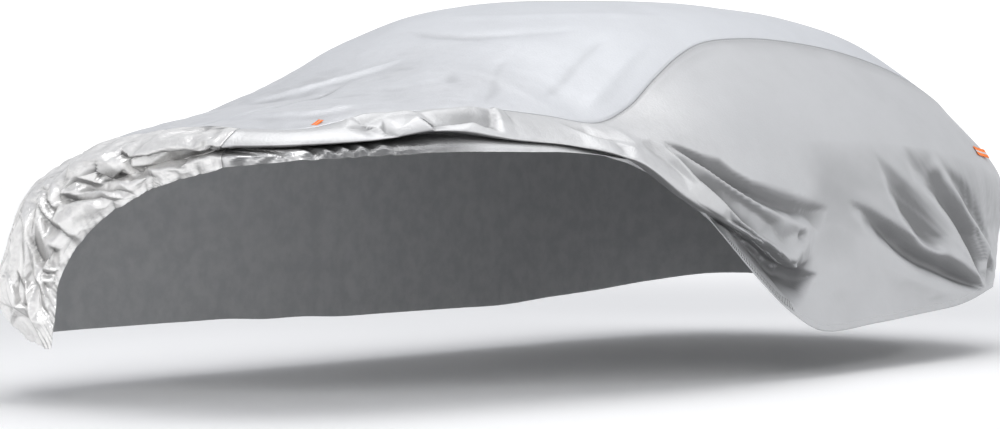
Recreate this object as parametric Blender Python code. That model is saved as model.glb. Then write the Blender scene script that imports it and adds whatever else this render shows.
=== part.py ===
"""A fitted car cover of silver cloth, drawn over a low two-seat car and pulled back off one front corner.

Metres, +Z up. The tables give heights above the floor and lengths from the front axle, +X to the rear.
The near side, whose front is pulled up and bunched on the fender, is at -Y. Every piece is then placed
from ROOF, the point under the roof cloth that the cover hangs from, so that point is the origin.
"""

import math
from collections import namedtuple

import bmesh
import bpy
from mathutils import Vector
from mathutils.bvhtree import BVHTree

ROOF = Vector((1.55, 0.0, 1.418))  # the underside of the roof cloth, measured from the front axle and the floor
CLOTH = 0.0025  # thickness of the padded cloth
TAPE = 0.0015  # thickness of the zip tape
TAG = 0.0012  # thickness of the sewn tags
SEWN_GAP = 0.00045  # what each sewn piece keeps from the seam line
FOLDED_GAP = 0.0008  # and where the seam runs over the turned edge
CROWN_POWER = 3.0  # how flat the roof is between its seams

# The seams of the top panel, one row for each station from the nose to the tail: the near seam, the far
# seam, how far the cloth rises between them, and how far it bows forward there.
Station = namedtuple("Station", "near far crown bow")
STATIONS = [
    Station((-0.633, -0.300, 0.896), (-0.42, 0.70, 0.830), 0.030, 0.00),
    Station((-0.500, -0.450, 0.896), (-0.25, 0.74, 0.873), 0.038, 0.03),
    Station((-0.280, -0.520, 0.943), (-0.05, 0.75, 0.904), 0.043, 0.04),
    Station((-0.070, -0.570, 0.958), (0.12, 0.75, 0.943), 0.057, 0.03),
    Station((0.170, -0.620, 0.966), (0.28, 0.73, 1.004), 0.089, 0.02),
    Station((0.420, -0.660, 0.948), (0.47, 0.69, 1.087), 0.138, 0.01),
    Station((0.660, -0.690, 0.927), (0.66, 0.65, 1.168), 0.184, 0.01),
    Station((0.860, -0.670, 0.982), (0.86, 0.61, 1.230), 0.201, 0.01),
    Station((1.080, -0.620, 1.087), (1.08, 0.58, 1.269), 0.186, 0.01),
    Station((1.300, -0.570, 1.181), (1.30, 0.56, 1.297), 0.160, 0.01),
    Station((1.490, -0.540, 1.237), (1.49, 0.54, 1.314), 0.141, 0.00),
    Station((1.780, -0.530, 1.265), (1.78, 0.54, 1.318), 0.137, 0.00),
    Station((2.070, -0.530, 1.264), (2.07, 0.54, 1.300), 0.141, 0.00),
    Station((2.400, -0.545, 1.238), (2.40, 0.55, 1.260), 0.159, 0.00),
    Station((2.750, -0.560, 1.180), (2.75, 0.56, 1.202), 0.168, -0.01),
    Station((3.000, -0.570, 1.110), (3.00, 0.57, 1.121), 0.131, -0.03),
    Station((3.240, -0.560, 1.015), (3.24, 0.56, 1.020), 0.087, -0.06),
    Station((3.390, -0.460, 0.940), (3.39, 0.46, 0.940), 0.046, -0.07),
]

# Below the seam, at the same stations: the widest line of each side and its hem.
Side = namedtuple("Side", "waist hem")
FAR_SIDE = [
    Side((-0.44, 0.90, 0.58), (-0.44, 0.88, 0.20)),
    Side((-0.26, 0.93, 0.60), (-0.26, 0.91, 0.20)),
    Side((-0.06, 0.94, 0.61), (-0.06, 0.92, 0.20)),
    Side((0.11, 0.94, 0.62), (0.11, 0.93, 0.20)),
    Side((0.28, 0.94, 0.63), (0.28, 0.93, 0.20)),
    Side((0.47, 0.94, 0.65), (0.47, 0.93, 0.20)),
    Side((0.66, 0.94, 0.68), (0.66, 0.93, 0.19)),
    Side((0.86, 0.94, 0.70), (0.86, 0.93, 0.19)),
    Side((1.08, 0.94, 0.72), (1.08, 0.93, 0.18)),
    Side((1.30, 0.94, 0.74), (1.30, 0.93, 0.18)),
    Side((1.49, 0.94, 0.74), (1.49, 0.93, 0.18)),
    Side((1.78, 0.94, 0.75), (1.78, 0.93, 0.18)),
    Side((2.07, 0.94, 0.76), (2.07, 0.93, 0.18)),
    Side((2.40, 0.94, 0.76), (2.40, 0.93, 0.20)),
    Side((2.75, 0.93, 0.75), (2.75, 0.92, 0.22)),
    Side((3.09, 0.88, 0.73), (3.06, 0.87, 0.25)),
    Side((3.40, 0.73, 0.70), (3.36, 0.72, 0.28)),
    Side((3.54, 0.46, 0.67), (3.49, 0.46, 0.28)),
]
NEAR_SIDE = [
    Side((-0.690, -0.330, 0.885), (-0.705, -0.300, 0.777)),
    Side((-0.560, -0.500, 0.885), (-0.600, -0.540, 0.797)),
    Side((-0.320, -0.590, 0.915), (-0.345, -0.665, 0.814)),
    Side((-0.090, -0.640, 0.935), (-0.120, -0.735, 0.824)),
    Side((0.160, -0.690, 0.930), (0.140, -0.780, 0.826)),
    Side((0.410, -0.740, 0.905), (0.400, -0.815, 0.824)),
    Side((0.640, -0.800, 0.885), (0.660, -0.875, 0.790)),
    Side((0.850, -0.850, 0.870), (0.860, -0.905, 0.715)),
    Side((1.080, -0.870, 0.860), (1.065, -0.920, 0.548)),
    Side((1.300, -0.875, 0.870), (1.285, -0.940, 0.372)),
    Side((1.490, -0.875, 0.880), (1.490, -0.940, 0.250)),
    Side((1.760, -0.880, 0.880), (1.690, -0.940, 0.174)),
    Side((2.070, -0.885, 0.880), (2.070, -0.940, 0.183)),
    Side((2.400, -0.885, 0.860), (2.410, -0.930, 0.201)),
    Side((2.750, -0.880, 0.830), (2.750, -0.920, 0.224)),
    Side((3.090, -0.860, 0.770), (3.020, -0.885, 0.263)),
    Side((3.410, -0.730, 0.700), (3.350, -0.720, 0.275)),
    Side((3.540, -0.460, 0.670), (3.490, -0.460, 0.280)),
]

# The pulled-up edge of the near side, at its first stations: the cloth rolls over at the lip, turns back
# in to the tuck, and comes out again in a lower band that ends at the hem.
Turn = namedtuple("Turn", "lip tuck band")
TURNS = [
    Turn((-0.735, -0.325, 0.843), (-0.660, -0.270, 0.835), (-0.720, -0.310, 0.808)),
    Turn((-0.600, -0.520, 0.846), (-0.545, -0.460, 0.842), (-0.600, -0.530, 0.820)),
    Turn((-0.370, -0.635, 0.863), (-0.330, -0.570, 0.866), (-0.350, -0.650, 0.838)),
    Turn((-0.130, -0.690, 0.893), (-0.110, -0.620, 0.885), (-0.110, -0.715, 0.850)),
    Turn((0.140, -0.755, 0.866), (0.150, -0.690, 0.872), (0.140, -0.765, 0.845)),
    Turn((0.400, -0.810, 0.846), (0.400, -0.750, 0.860), (0.400, -0.795, 0.838)),
    Turn((0.620, -0.905, 0.793), (0.630, -0.850, 0.800), (0.645, -0.865, 0.780)),
    Turn((0.840, -0.945, 0.672), (0.850, -0.905, 0.672), (0.850, -0.890, 0.695)),
    Turn((1.080, -0.950, 0.587), (1.070, -0.880, 0.600), (1.060, -0.905, 0.568)),
    Turn((1.300, -0.960, 0.505), (1.280, -0.865, 0.520), (1.280, -0.915, 0.425)),
    Turn((1.500, -0.960, 0.415), (1.470, -0.860, 0.430), (1.480, -0.920, 0.305)),
]
PLAIN_TURN = (0.55, 0.75, 0.88)  # lip, tuck and band where nothing is turned: shares of the way to the hem
WAIST_SHARE = 0.45  # share of the way down a plain side at which its widest line lies
SHOULDER = 0.45  # how high the cloth keeps out above the widest line, as a share of the height to the seam
SKIRT = 0.5  # and how low below it, as a share of the height to the hem

# The nose, from the hood down to the hem: the points round each line, from the raised edge to the last
# one before the seam with the far side.
NOSE_STEPS = (0.0, 0.20, 0.45, 0.65, 0.80, 1.0)
Nose = namedtuple("Nose", "edge band tuck lip roll crest middle corner")
NOSE = [
    Nose(
        (-0.721, 0.00, 0.712), (-0.745, 0.03, 0.745), (-0.700, 0.07, 0.770), (-0.750, 0.08, 0.800),
        (-0.735, 0.10, 0.840), (-0.670, 0.16, 0.855), (-0.630, 0.32, 0.840), (-0.560, 0.56, 0.812),
    ),
    Nose(
        (-0.751, 0.25, 0.589), (-0.800, 0.30, 0.620), (-0.785, 0.35, 0.655), (-0.805, 0.41, 0.680),
        (-0.805, 0.46, 0.690), (-0.780, 0.51, 0.695), (-0.730, 0.60, 0.690), (-0.650, 0.72, 0.675),
    ),
    Nose(
        (-0.770, 0.40, 0.420), (-0.820, 0.44, 0.430), (-0.810, 0.48, 0.440), (-0.840, 0.53, 0.440),
        (-0.845, 0.57, 0.440), (-0.830, 0.61, 0.435), (-0.790, 0.68, 0.430), (-0.710, 0.78, 0.425),
    ),
    Nose(
        (-0.775, 0.42, 0.300), (-0.815, 0.46, 0.310), (-0.815, 0.50, 0.320), (-0.850, 0.55, 0.330),
        (-0.855, 0.59, 0.335), (-0.840, 0.62, 0.335), (-0.790, 0.70, 0.335), (-0.700, 0.79, 0.335),
    ),
    Nose(
        (-0.790, 0.42, 0.187), (-0.795, 0.46, 0.190), (-0.785, 0.50, 0.195), (-0.770, 0.55, 0.205),
        (-0.760, 0.59, 0.210), (-0.745, 0.62, 0.215), (-0.700, 0.70, 0.225), (-0.620, 0.79, 0.230),
    ),
]
TURNED = 5  # of the stretches between a nose line's points, those up to its crest, as on the near side

# Long folds of the near side, each a valley (+ depth) or a ridge (- depth) along a line of (x, z) points,
# with its width on each side of the line and the share of its length over which it starts.
Fold = namedtuple("Fold", "path depth above below fade")
FOLD_END = 0.06  # share of a fold's length over which it stops
SIDE_FOLDS = [
    Fold(((0.74, 0.860), (0.98, 0.790), (1.25, 0.705), (1.50, 0.655), (1.72, 0.622)), 0.055, 0.028, 0.040, 0.20),
    Fold(((0.70, 0.862), (0.98, 0.760), (1.24, 0.665), (1.49, 0.585), (1.64, 0.525)), -0.026, 0.022, 0.032, 0.15),
    Fold(((0.66, 0.840), (0.88, 0.740), (1.10, 0.650), (1.32, 0.590), (1.58, 0.470)), 0.040, 0.030, 0.030, 0.20),
    Fold(((1.95, 0.650), (2.15, 0.530), (2.48, 0.405), (2.90, 0.300)), 0.055, 0.040, 0.030, 0.35),
    Fold(((2.07, 0.800), (2.30, 0.640), (2.56, 0.480), (2.90, 0.310)), 0.040, 0.040, 0.030, 0.35),
    Fold(((2.30, 0.880), (2.52, 0.740), (2.73, 0.550), (2.93, 0.330)), 0.055, 0.040, 0.030, 0.35),
    Fold(((2.48, 0.830), (2.68, 0.720), (2.82, 0.560), (2.96, 0.350)), -0.028, 0.024, 0.024, 0.35),
    Fold(((2.56, 0.860), (2.78, 0.720), (2.93, 0.550), (3.00, 0.400)), 0.045, 0.036, 0.028, 0.35),
]
# Folds of the nose, along lines of (y, z) points.
NOSE_FOLDS = [
    Fold(((0.358, 0.768), (0.215, 0.762), (0.093, 0.769)), -0.018, 0.030, 0.030, 0.30),
    Fold(((0.520, 0.735), (0.379, 0.671), (0.309, 0.682)), 0.030, 0.035, 0.030, 0.30),
    Fold(((0.120, 0.845), (0.084, 0.800), (-0.049, 0.750)), 0.024, 0.030, 0.030, 0.30),
    Fold(((0.600, 0.690), (0.492, 0.539), (0.401, 0.463)), 0.034, 0.035, 0.030, 0.30),
    Fold(((0.575, 0.538), (0.534, 0.423), (0.473, 0.278)), -0.020, 0.025, 0.025, 0.30),
    Fold(((0.617, 0.464), (0.566, 0.340), (0.504, 0.218)), 0.034, 0.030, 0.030, 0.30),
    Fold(((0.523, 0.480), (0.473, 0.344), (0.453, 0.246)), 0.028, 0.025, 0.025, 0.30),
]
# Soft folds of the hood and the windscreen, along lines of (x, y) points.
HOOD_FOLDS = [
    Fold(((-0.35, 0.10), (0.10, 0.15), (0.60, 0.12), (0.95, 0.05)), -0.022, 0.06, 0.07, 0.30),
    Fold(((-0.40, -0.02), (0.00, 0.02), (0.50, 0.00)), 0.018, 0.06, 0.06, 0.35),
    Fold(((0.46, -0.62), (0.62, -0.45), (0.86, -0.28)), 0.020, 0.05, 0.05, 0.35),
]

LENGTH_CELLS = 51  # along the top panel and both sides, so that their seams meet point for point
TOP_CELLS = 10  # across the top panel
SIDE_CELLS = 10  # down the far side, and down the tail
NEAR_CELLS = (4, 11, 3, 3, 3)  # down the near side, for each stretch: to the waist, lip, tuck, band and hem
NOSE_CELLS = 16  # down the nose
FOLDS_STOP = 2.2  # stretches down the turned edge at which the folds of the side have stopped
FOLDS_FADE = 0.4  # and over how many they fade
NOSE_FADE = 8  # how fast the cross seam's bow is lost down the nose
NOSE_CLEAR = 0.12  # share of the way down the nose over which its folds come in below the cross seam
TAPE_SPAN = (8.3, 10.15)  # stations that the zip tape runs between
REAR_TAG = (3.06, -0.82, 0.852)
REAR_TAG_SIZE = (0.130, 0.045)
FRONT_TAG = (-0.47, -0.435, 0.91)
FRONT_TAG_SIZE = (0.045, 0.030)


def through(points, at):
    """A point on the smooth curve through the points, at 0 at the first and 1 more at each one after it."""
    last = len(points) - 1
    span = min(int(at), last - 1)
    share = at - span
    start, end = Vector(points[span]), Vector(points[span + 1])
    before = Vector(points[span - 1]) if span else start * 2 - end
    after = Vector(points[span + 2]) if span + 2 <= last else end * 2 - start
    length = max((end - start).length, 1e-6) ** 0.5
    length_before = max((start - before).length, 1e-6) ** 0.5
    length_after = max((after - end).length, 1e-6) ** 0.5
    leave = length * (
        (start - before) / length_before
        - (end - before) / (length_before + length)
        + (end - start) / length
    )
    reach = length * (
        (end - start) / length - (after - start) / (length + length_after) + (after - end) / length_after
    )
    square, cube = share * share, share**3
    return (
        start * (2 * cube - 3 * square + 1)
        + leave * (cube - 2 * square + share)
        + end * (3 * square - 2 * cube)
        + reach * (cube - square)
    )


def along(rows, at):
    """The row of a table read between its rows, field by field."""
    fields = zip(*rows)
    return [
        through([Vector(p) if isinstance(p, tuple) else Vector((p, 0, 0)) for p in field], at)
        for field in fields
    ]


def drop(seam, waist, hem, share):
    """A plain side from its seam at 0, over its widest line, to the hem at 1."""
    if share < WAIST_SHARE:
        part = share / WAIST_SHARE
        bend = waist + Vector((0, 0, (seam.z - waist.z) * SHOULDER))
        ends = (seam, bend, waist)
    else:
        part = (share - WAIST_SHARE) / (1 - WAIST_SHARE)
        bend = waist - Vector((0, 0, (waist.z - hem.z) * SKIRT))
        ends = (waist, bend, hem)
    return ends[0] * (1 - part) ** 2 + ends[1] * 2 * part * (1 - part) + ends[2] * part**2


def fold_depth(folds, a, b):
    """How far the folds press the cloth in at (a, b), measured on the plane that their lines are drawn on."""
    depth = 0.0
    for fold in folds:
        nearest = None
        spans = len(fold.path) - 1
        for index in range(spans):
            (a0, b0), (a1, b1) = fold.path[index], fold.path[index + 1]
            run = (a1 - a0, b1 - b0)
            size = run[0] ** 2 + run[1] ** 2
            share = min(1, max(0, ((a - a0) * run[0] + (b - b0) * run[1]) / size))
            off = (a - a0 - run[0] * share, b - b0 - run[1] * share)
            distance = math.hypot(*off)
            if nearest is None or distance < nearest[0]:
                side = run[0] * off[1] - run[1] * off[0]
                nearest = (distance, side, (index + share) / spans)
        distance, side, place = nearest
        width = fold.above if side > 0 else fold.below
        ends = min(1, place / fold.fade, (1 - place) / FOLD_END)
        depth += fold.depth * math.exp(-((distance / width) ** 2)) * max(0, ends)
    return depth


def top_point(at, across):
    """The top panel: at counts stations, and across goes from -1 at the near seam to 1 at the far one."""
    near, far, crown, bow = along(STATIONS, at)
    point = near.lerp(far, (across + 1) / 2)
    point.z += crown.x * (1 - abs(across) ** CROWN_POWER)
    point.x -= bow.x * (1 - across**2)
    point.z -= fold_depth(HOOD_FOLDS, point.x, point.y)
    return point


def tail_point(down, across):
    """The strip down the tail, between the last stations of the two sides."""
    last = len(STATIONS) - 1
    near, far = near_point(last, down), far_point(last, down)
    point = near.lerp(far, (across + 1) / 2)
    crown, bow = STATIONS[last].crown, STATIONS[last].bow
    point.z += crown * (1 - abs(across) ** CROWN_POWER) * (1 - down) ** 2
    point.x -= bow * (1 - across**2)
    return point


def far_point(at, down):
    seam = along(STATIONS, at)[1]
    waist, hem = along(FAR_SIDE, at)
    return drop(seam, waist, hem, down)


def near_line(at):
    """The six points that the near side passes through at a station: seam, waist, lip, tuck, band, hem."""
    index = int(min(at, len(STATIONS) - 1.001))
    rows = []
    for row in range(max(0, index - 1), min(len(STATIONS), index + 3)):
        seam, (waist, hem) = Vector(STATIONS[row].near), map(Vector, NEAR_SIDE[row])
        if row < len(TURNS):
            turn = TURNS[row]
        else:
            turn = [drop(seam, waist, hem, WAIST_SHARE + share * (1 - WAIST_SHARE)) for share in PLAIN_TURN]
        rows.append([tuple(p) for p in (seam, waist, *turn, hem)])
    return along(rows, at - max(0, index - 1))


def near_point(at, down):
    """The near side: down goes from 0 at the seam to 1 at the hem, in equal shares for its stretches."""
    stretch = down * len(NEAR_CELLS)
    point = through(near_line(at), stretch)
    reach = min(1, stretch)
    if at < len(TURNS):
        reach = max(0, min(reach, (FOLDS_STOP - stretch) / FOLDS_FADE))
    point.y += fold_depth(SIDE_FOLDS, point.x, point.z) * reach
    return point


def nose_point(across, down):
    """The nose panel: across counts the points from its raised edge to the far seam, down runs to the hem."""
    if down == 0:
        return nose_top(across)
    rows = [nose_top_line()] + [list(row) for row in NOSE]
    place = 0
    while place < len(NOSE_STEPS) - 2 and down > NOSE_STEPS[place + 1]:
        place += 1
    at = place + (down - NOSE_STEPS[place]) / (NOSE_STEPS[place + 1] - NOSE_STEPS[place])
    line = [through(column, at) for column in zip(*rows)]
    plain_top = through([*rows[0], far_point(0, 0)], across)
    point = through([*line, far_point(0, down)], across) + (nose_top(across) - plain_top) * (1 - down) ** NOSE_FADE
    clear = min(1, down / NOSE_CLEAR, (len(rows[0]) - across) / 2)
    point.x += fold_depth(NOSE_FOLDS, point.y, point.z) * clear
    return point


def nose_top_line():
    """The points of the nose panel's cross seam: the near side's first station, then the hood's."""
    return [*reversed(near_line(0)), top_point(0, -1 / 3), top_point(0, 1 / 3)]


def nose_top(across):
    """The cross seam itself: up the near side's first station, then over the hood."""
    if across <= TURNED:
        return near_point(0, 1 - across / TURNED)
    return top_point(0, (across - TURNED) / (len(Nose._fields) - TURNED) * 2 - 1)


def on_chords(curve, share, cells):
    """A point on the straight lines between the cells + 1 points of a curve, so that a finer edge fits them."""
    cell = min(int(share * cells), cells - 1)
    return curve(cell / cells).lerp(curve((cell + 1) / cells), share * cells - cell)


def cloth_material(name, colour, roughness, metallic):
    material = bpy.data.materials.new(name)
    material.use_nodes = True
    shader = material.node_tree.nodes["Principled BSDF"]
    shader.inputs["Base Color"].default_value = (*colour, 1)
    shader.inputs["Roughness"].default_value = roughness
    shader.inputs["Metallic"].default_value = metallic
    return material


def grid_cloth(cells_along, cells_across, place, seams=(), folded=()):
    """A flat grid whose points are placed by place(i, j), drawn back along the sides in seams.

    A side that is also in folded is drawn back further, because the cloth turns sharply on its seam.
    """
    mesh = bmesh.new()
    bmesh.ops.create_grid(mesh, x_segments=cells_along, y_segments=cells_across, size=0.5)
    grid = {}
    for vertex in mesh.verts:
        i = round((vertex.co.x + 0.5) * cells_along)
        j = round((vertex.co.y + 0.5) * cells_across)
        grid[i, j] = vertex
    for (i, j), vertex in grid.items():
        vertex.co = place(i, j)
    sides = {
        "start": ([(0, j) for j in range(cells_across + 1)], (1, 0)),
        "end": ([(cells_along, j) for j in range(cells_across + 1)], (-1, 0)),
        "low": ([(i, 0) for i in range(cells_along + 1)], (0, 1)),
        "high": ([(i, cells_across) for i in range(cells_along + 1)], (0, -1)),
    }
    for side in seams:
        keys, inward = sides[side]
        for i, j in keys:
            vertex = grid[i, j]
            way = grid[i + inward[0], j + inward[1]].co - vertex.co
            vertex.co += way.normalized() * (FOLDED_GAP if side in folded else SEWN_GAP)
    mesh.normal_update()
    return mesh, grid


def face_out(mesh, middle):
    """Turns the sheet so that its faces look away from the point, on the whole."""
    outward = sum((face.calc_center_median() - middle).dot(face.normal) * face.calc_area() for face in mesh.faces)
    if outward < 0:
        bmesh.ops.reverse_faces(mesh, faces=mesh.faces)
    mesh.normal_update()


def finish(name, mesh, thickness, material):
    """Makes the sheet an object of its thickness, placed from the roof."""
    data = bpy.data.meshes.new(name)
    mesh.to_mesh(data)
    piece = bpy.data.objects.new(name, data)
    bpy.context.scene.collection.objects.link(piece)
    piece.location = -ROOF
    data.materials.append(material)
    data.shade_smooth()
    solid = piece.modifiers.new("thickness", "SOLIDIFY")
    solid.thickness = thickness
    solid.offset = 0
    solid.use_even_offset = False
    return piece


def top_panel(material):
    stations = len(STATIONS) - 1

    def place(i, j):
        across = j / TOP_CELLS * 2 - 1
        if i <= LENGTH_CELLS:
            return top_point(i / LENGTH_CELLS * stations, across)
        return tail_point((i - LENGTH_CELLS) / SIDE_CELLS, across)

    mesh, _ = grid_cloth(LENGTH_CELLS + SIDE_CELLS, TOP_CELLS, place, ("start", "low", "high"))
    face_out(mesh, Vector((1.4, 0, 0.4)))
    return mesh, finish("top_panel", mesh, CLOTH, material)


def far_side_panel(material):
    stations = len(STATIONS) - 1

    def place(i, j):
        return far_point(i / LENGTH_CELLS * stations, j / SIDE_CELLS)

    mesh, _ = grid_cloth(LENGTH_CELLS, SIDE_CELLS, place, ("start", "end", "low"))
    face_out(mesh, Vector((1.4, 0, 0.4)))
    return finish("far_side_panel", mesh, CLOTH, material)


def near_shares():
    """The shares of the way down the near side at which its grid lines lie."""
    shares = [0.0]
    for stretch, cells in enumerate(NEAR_CELLS):
        shares += [(stretch + (k + 1) / cells) / len(NEAR_CELLS) for k in range(cells)]
    return shares


def near_side_panel(material):
    stations = len(STATIONS) - 1
    shares = near_shares()

    def place(i, j):
        if i == LENGTH_CELLS:
            return on_chords(lambda share: near_point(stations, share), shares[j], SIDE_CELLS)
        return near_point(i / LENGTH_CELLS * stations, shares[j])

    mesh, grid = grid_cloth(LENGTH_CELLS, len(shares) - 1, place, ("start", "end", "low"), ("start",))
    face_out(mesh, Vector((1.4, 0, 0.4)))
    return mesh, grid, finish("near_side_panel", mesh, CLOTH, material)


def front_panel(material):
    hood = len(Nose._fields) - TURNED
    across = [TURNED * (1 - share) for share in reversed(near_shares())]
    across += [TURNED + hood * (k + 1) / TOP_CELLS for k in range(TOP_CELLS)]
    last = len(across) - 1

    def place(i, j):
        down = j / NOSE_CELLS
        if i == last:
            return on_chords(lambda share: far_point(0, share), down, SIDE_CELLS)
        return nose_point(across[i], down)

    mesh, _ = grid_cloth(last, NOSE_CELLS, place, ("end", "low"), ("low",))
    face_out(mesh, Vector((-0.1, 0.2, 0.4)))
    return finish("front_panel", mesh, CLOTH, material)


def edge_tape(grid, material):
    """The ribbed tape on the outer face of the band, one cell in from the hem."""
    stations = len(STATIONS) - 1
    first, last = (round(at / stations * LENGTH_CELLS) for at in TAPE_SPAN)
    high = len(near_shares()) - 1
    lift = CLOTH / 2 + SEWN_GAP + TAPE / 2

    def place(i, j):
        vertex = grid[first + i, high - 2 + j]
        return vertex.co + vertex.normal * lift

    mesh, _ = grid_cloth(last - first, 1, place)
    face_out(mesh, Vector((1.4, 0, 0.4)))
    return finish("edge_tape", mesh, TAPE, material)


def tag(name, cloth, centre, size, material):
    """A small flat tag standing on the outside of the cloth, its long side along the car."""
    spot, normal, _, _ = BVHTree.FromBMesh(cloth).find_nearest(Vector(centre))
    forward = (Vector((1, 0, 0)) - normal * normal.x).normalized()
    up = normal.cross(forward)
    seat = spot + normal * (CLOTH / 2 + SEWN_GAP + TAG / 2)

    def place(i, j):
        return seat + forward * (i - 0.5) * size[0] + up * (j - 0.5) * size[1]

    mesh, _ = grid_cloth(1, 1, place)
    face_out(mesh, spot - normal)
    return finish(name, mesh, TAG, material)


def main():
    for thing in list(bpy.data.objects):
        bpy.data.objects.remove(thing)
    silver = cloth_material("silver cloth", (0.62, 0.63, 0.65), 0.45, 0.3)
    foil = cloth_material("foil cloth", (0.80, 0.80, 0.80), 0.28, 0.7)
    grey = cloth_material("grey cloth", (0.55, 0.56, 0.57), 0.55, 0.2)
    ribbed = cloth_material("ribbed tape", (0.35, 0.36, 0.37), 0.7, 0.0)
    orange = cloth_material("orange tag", (0.90, 0.25, 0.03), 0.6, 0.0)
    top_mesh, _ = top_panel(silver)
    far_side_panel(grey)
    near_mesh, near_grid, _ = near_side_panel(grey)
    front_panel(foil)
    edge_tape(near_grid, ribbed)
    tag("rear_tag", near_mesh, REAR_TAG, REAR_TAG_SIZE, orange)
    tag("front_tag", top_mesh, FRONT_TAG, FRONT_TAG_SIZE, orange)


main()
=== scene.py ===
# %% [markdown]
# # A fitted car cover, pulled back off one front corner
# A fitted cover is sewn from a few large panels: one long top panel from the hood over the roof and down
# the tail, two sides, and a front. Its cloth is woven or felted and coated with aluminium, which is why
# it looks like satin where it lies flat and like foil where it is crumpled. Here the cover hangs hollow
# in its fitted shape, and its near front corner is pulled up and bunched.
#
# The solids of the model are thin sheets. This script lays a finer net over each of them, presses the
# creases in, and gives the cloth its finish. Lengths are in metres, counted back from a point on the
# floor about 0.86 m behind the tip of the nose, and up from the floor. Each mesh is moved from there to
# the model's own origin, under the roof, when it is made.

# %% Loading the model
import math
from collections import namedtuple
from functools import cache

import bmesh
import bpy
import numpy as np
from mathutils.geometry import delaunay_2d_cdt
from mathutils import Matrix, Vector, noise


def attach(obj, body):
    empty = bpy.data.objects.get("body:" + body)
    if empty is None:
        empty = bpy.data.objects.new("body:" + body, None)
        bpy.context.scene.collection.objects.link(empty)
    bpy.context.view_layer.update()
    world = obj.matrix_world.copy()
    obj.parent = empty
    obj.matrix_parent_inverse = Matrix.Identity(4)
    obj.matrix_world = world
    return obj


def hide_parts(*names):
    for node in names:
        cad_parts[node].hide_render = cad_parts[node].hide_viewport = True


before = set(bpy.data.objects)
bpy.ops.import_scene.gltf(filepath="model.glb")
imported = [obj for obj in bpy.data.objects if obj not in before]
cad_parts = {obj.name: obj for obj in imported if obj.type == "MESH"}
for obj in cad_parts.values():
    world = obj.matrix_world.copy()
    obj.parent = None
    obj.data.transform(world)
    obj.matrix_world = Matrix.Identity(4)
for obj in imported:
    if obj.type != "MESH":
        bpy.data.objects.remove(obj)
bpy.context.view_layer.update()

print("solids:", sorted(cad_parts))

# %% [markdown]
# ## The seams and the edges
# A cover is cut along lines: the seams between its panels and the edges where the cloth ends. Each table
# row is a cut across the cover, so that a curve run through one column is a seam or an edge. Few rows with
# smooth curves through them give a calmer cloth than many rows, because every extra row is a chance of a
# dent.

# %% The tables of the cut
ROOF = Vector((1.55, 0.0, 1.418))  # the point under the roof that the model is placed from
CROWN_POWER = 3.0  # how flat the roof is between its seams

# From the nose to the tail: the near seam, the far seam, the rise between them, the bow forward there.
# Nearly all the far seam's heights and the rises were fitted to the photo's outline by another program.
Station = namedtuple("Station", "near far crown bow")
STATIONS = [
    Station((-0.633, -0.300, 0.896), (-0.42, 0.70, 0.830), 0.030, 0.00),
    Station((-0.500, -0.450, 0.896), (-0.25, 0.74, 0.873), 0.038, 0.03),
    Station((-0.280, -0.520, 0.943), (-0.05, 0.75, 0.904), 0.043, 0.04),
    Station((-0.070, -0.570, 0.958), (0.12, 0.75, 0.943), 0.057, 0.03),
    Station((0.170, -0.620, 0.966), (0.28, 0.73, 1.004), 0.089, 0.02),
    Station((0.420, -0.660, 0.948), (0.47, 0.69, 1.087), 0.138, 0.01),
    Station((0.660, -0.690, 0.927), (0.66, 0.65, 1.168), 0.184, 0.01),
    Station((0.860, -0.670, 0.982), (0.86, 0.61, 1.230), 0.201, 0.01),
    Station((1.080, -0.620, 1.087), (1.08, 0.58, 1.269), 0.186, 0.01),
    Station((1.300, -0.570, 1.181), (1.30, 0.56, 1.297), 0.160, 0.01),
    Station((1.490, -0.540, 1.237), (1.49, 0.54, 1.314), 0.141, 0.00),
    Station((1.780, -0.530, 1.265), (1.78, 0.54, 1.318), 0.137, 0.00),
    Station((2.070, -0.530, 1.264), (2.07, 0.54, 1.300), 0.141, 0.00),
    Station((2.400, -0.545, 1.238), (2.40, 0.55, 1.260), 0.159, 0.00),
    Station((2.750, -0.560, 1.180), (2.75, 0.56, 1.202), 0.168, -0.01),
    Station((3.000, -0.570, 1.110), (3.00, 0.57, 1.121), 0.131, -0.03),
    Station((3.240, -0.560, 1.015), (3.24, 0.56, 1.020), 0.087, -0.06),
    Station((3.390, -0.460, 0.940), (3.39, 0.46, 0.940), 0.046, -0.07),
]

# Below the seam: the widest line of each side, and its hem.
Side = namedtuple("Side", "waist hem")
FAR_SIDE = [
    Side((-0.44, 0.90, 0.58), (-0.44, 0.88, 0.20)),
    Side((-0.26, 0.93, 0.60), (-0.26, 0.91, 0.20)),
    Side((-0.06, 0.94, 0.61), (-0.06, 0.92, 0.20)),
    Side((0.11, 0.94, 0.62), (0.11, 0.93, 0.20)),
    Side((0.28, 0.94, 0.63), (0.28, 0.93, 0.20)),
    Side((0.47, 0.94, 0.65), (0.47, 0.93, 0.20)),
    Side((0.66, 0.94, 0.68), (0.66, 0.93, 0.19)),
    Side((0.86, 0.94, 0.70), (0.86, 0.93, 0.19)),
    Side((1.08, 0.94, 0.72), (1.08, 0.93, 0.18)),
    Side((1.30, 0.94, 0.74), (1.30, 0.93, 0.18)),
    Side((1.49, 0.94, 0.74), (1.49, 0.93, 0.18)),
    Side((1.78, 0.94, 0.75), (1.78, 0.93, 0.18)),
    Side((2.07, 0.94, 0.76), (2.07, 0.93, 0.18)),
    Side((2.40, 0.94, 0.76), (2.40, 0.93, 0.20)),
    Side((2.75, 0.93, 0.75), (2.75, 0.92, 0.22)),
    Side((3.09, 0.88, 0.73), (3.06, 0.87, 0.25)),
    Side((3.40, 0.73, 0.70), (3.36, 0.72, 0.28)),
    Side((3.54, 0.46, 0.67), (3.49, 0.46, 0.28)),
]
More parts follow.
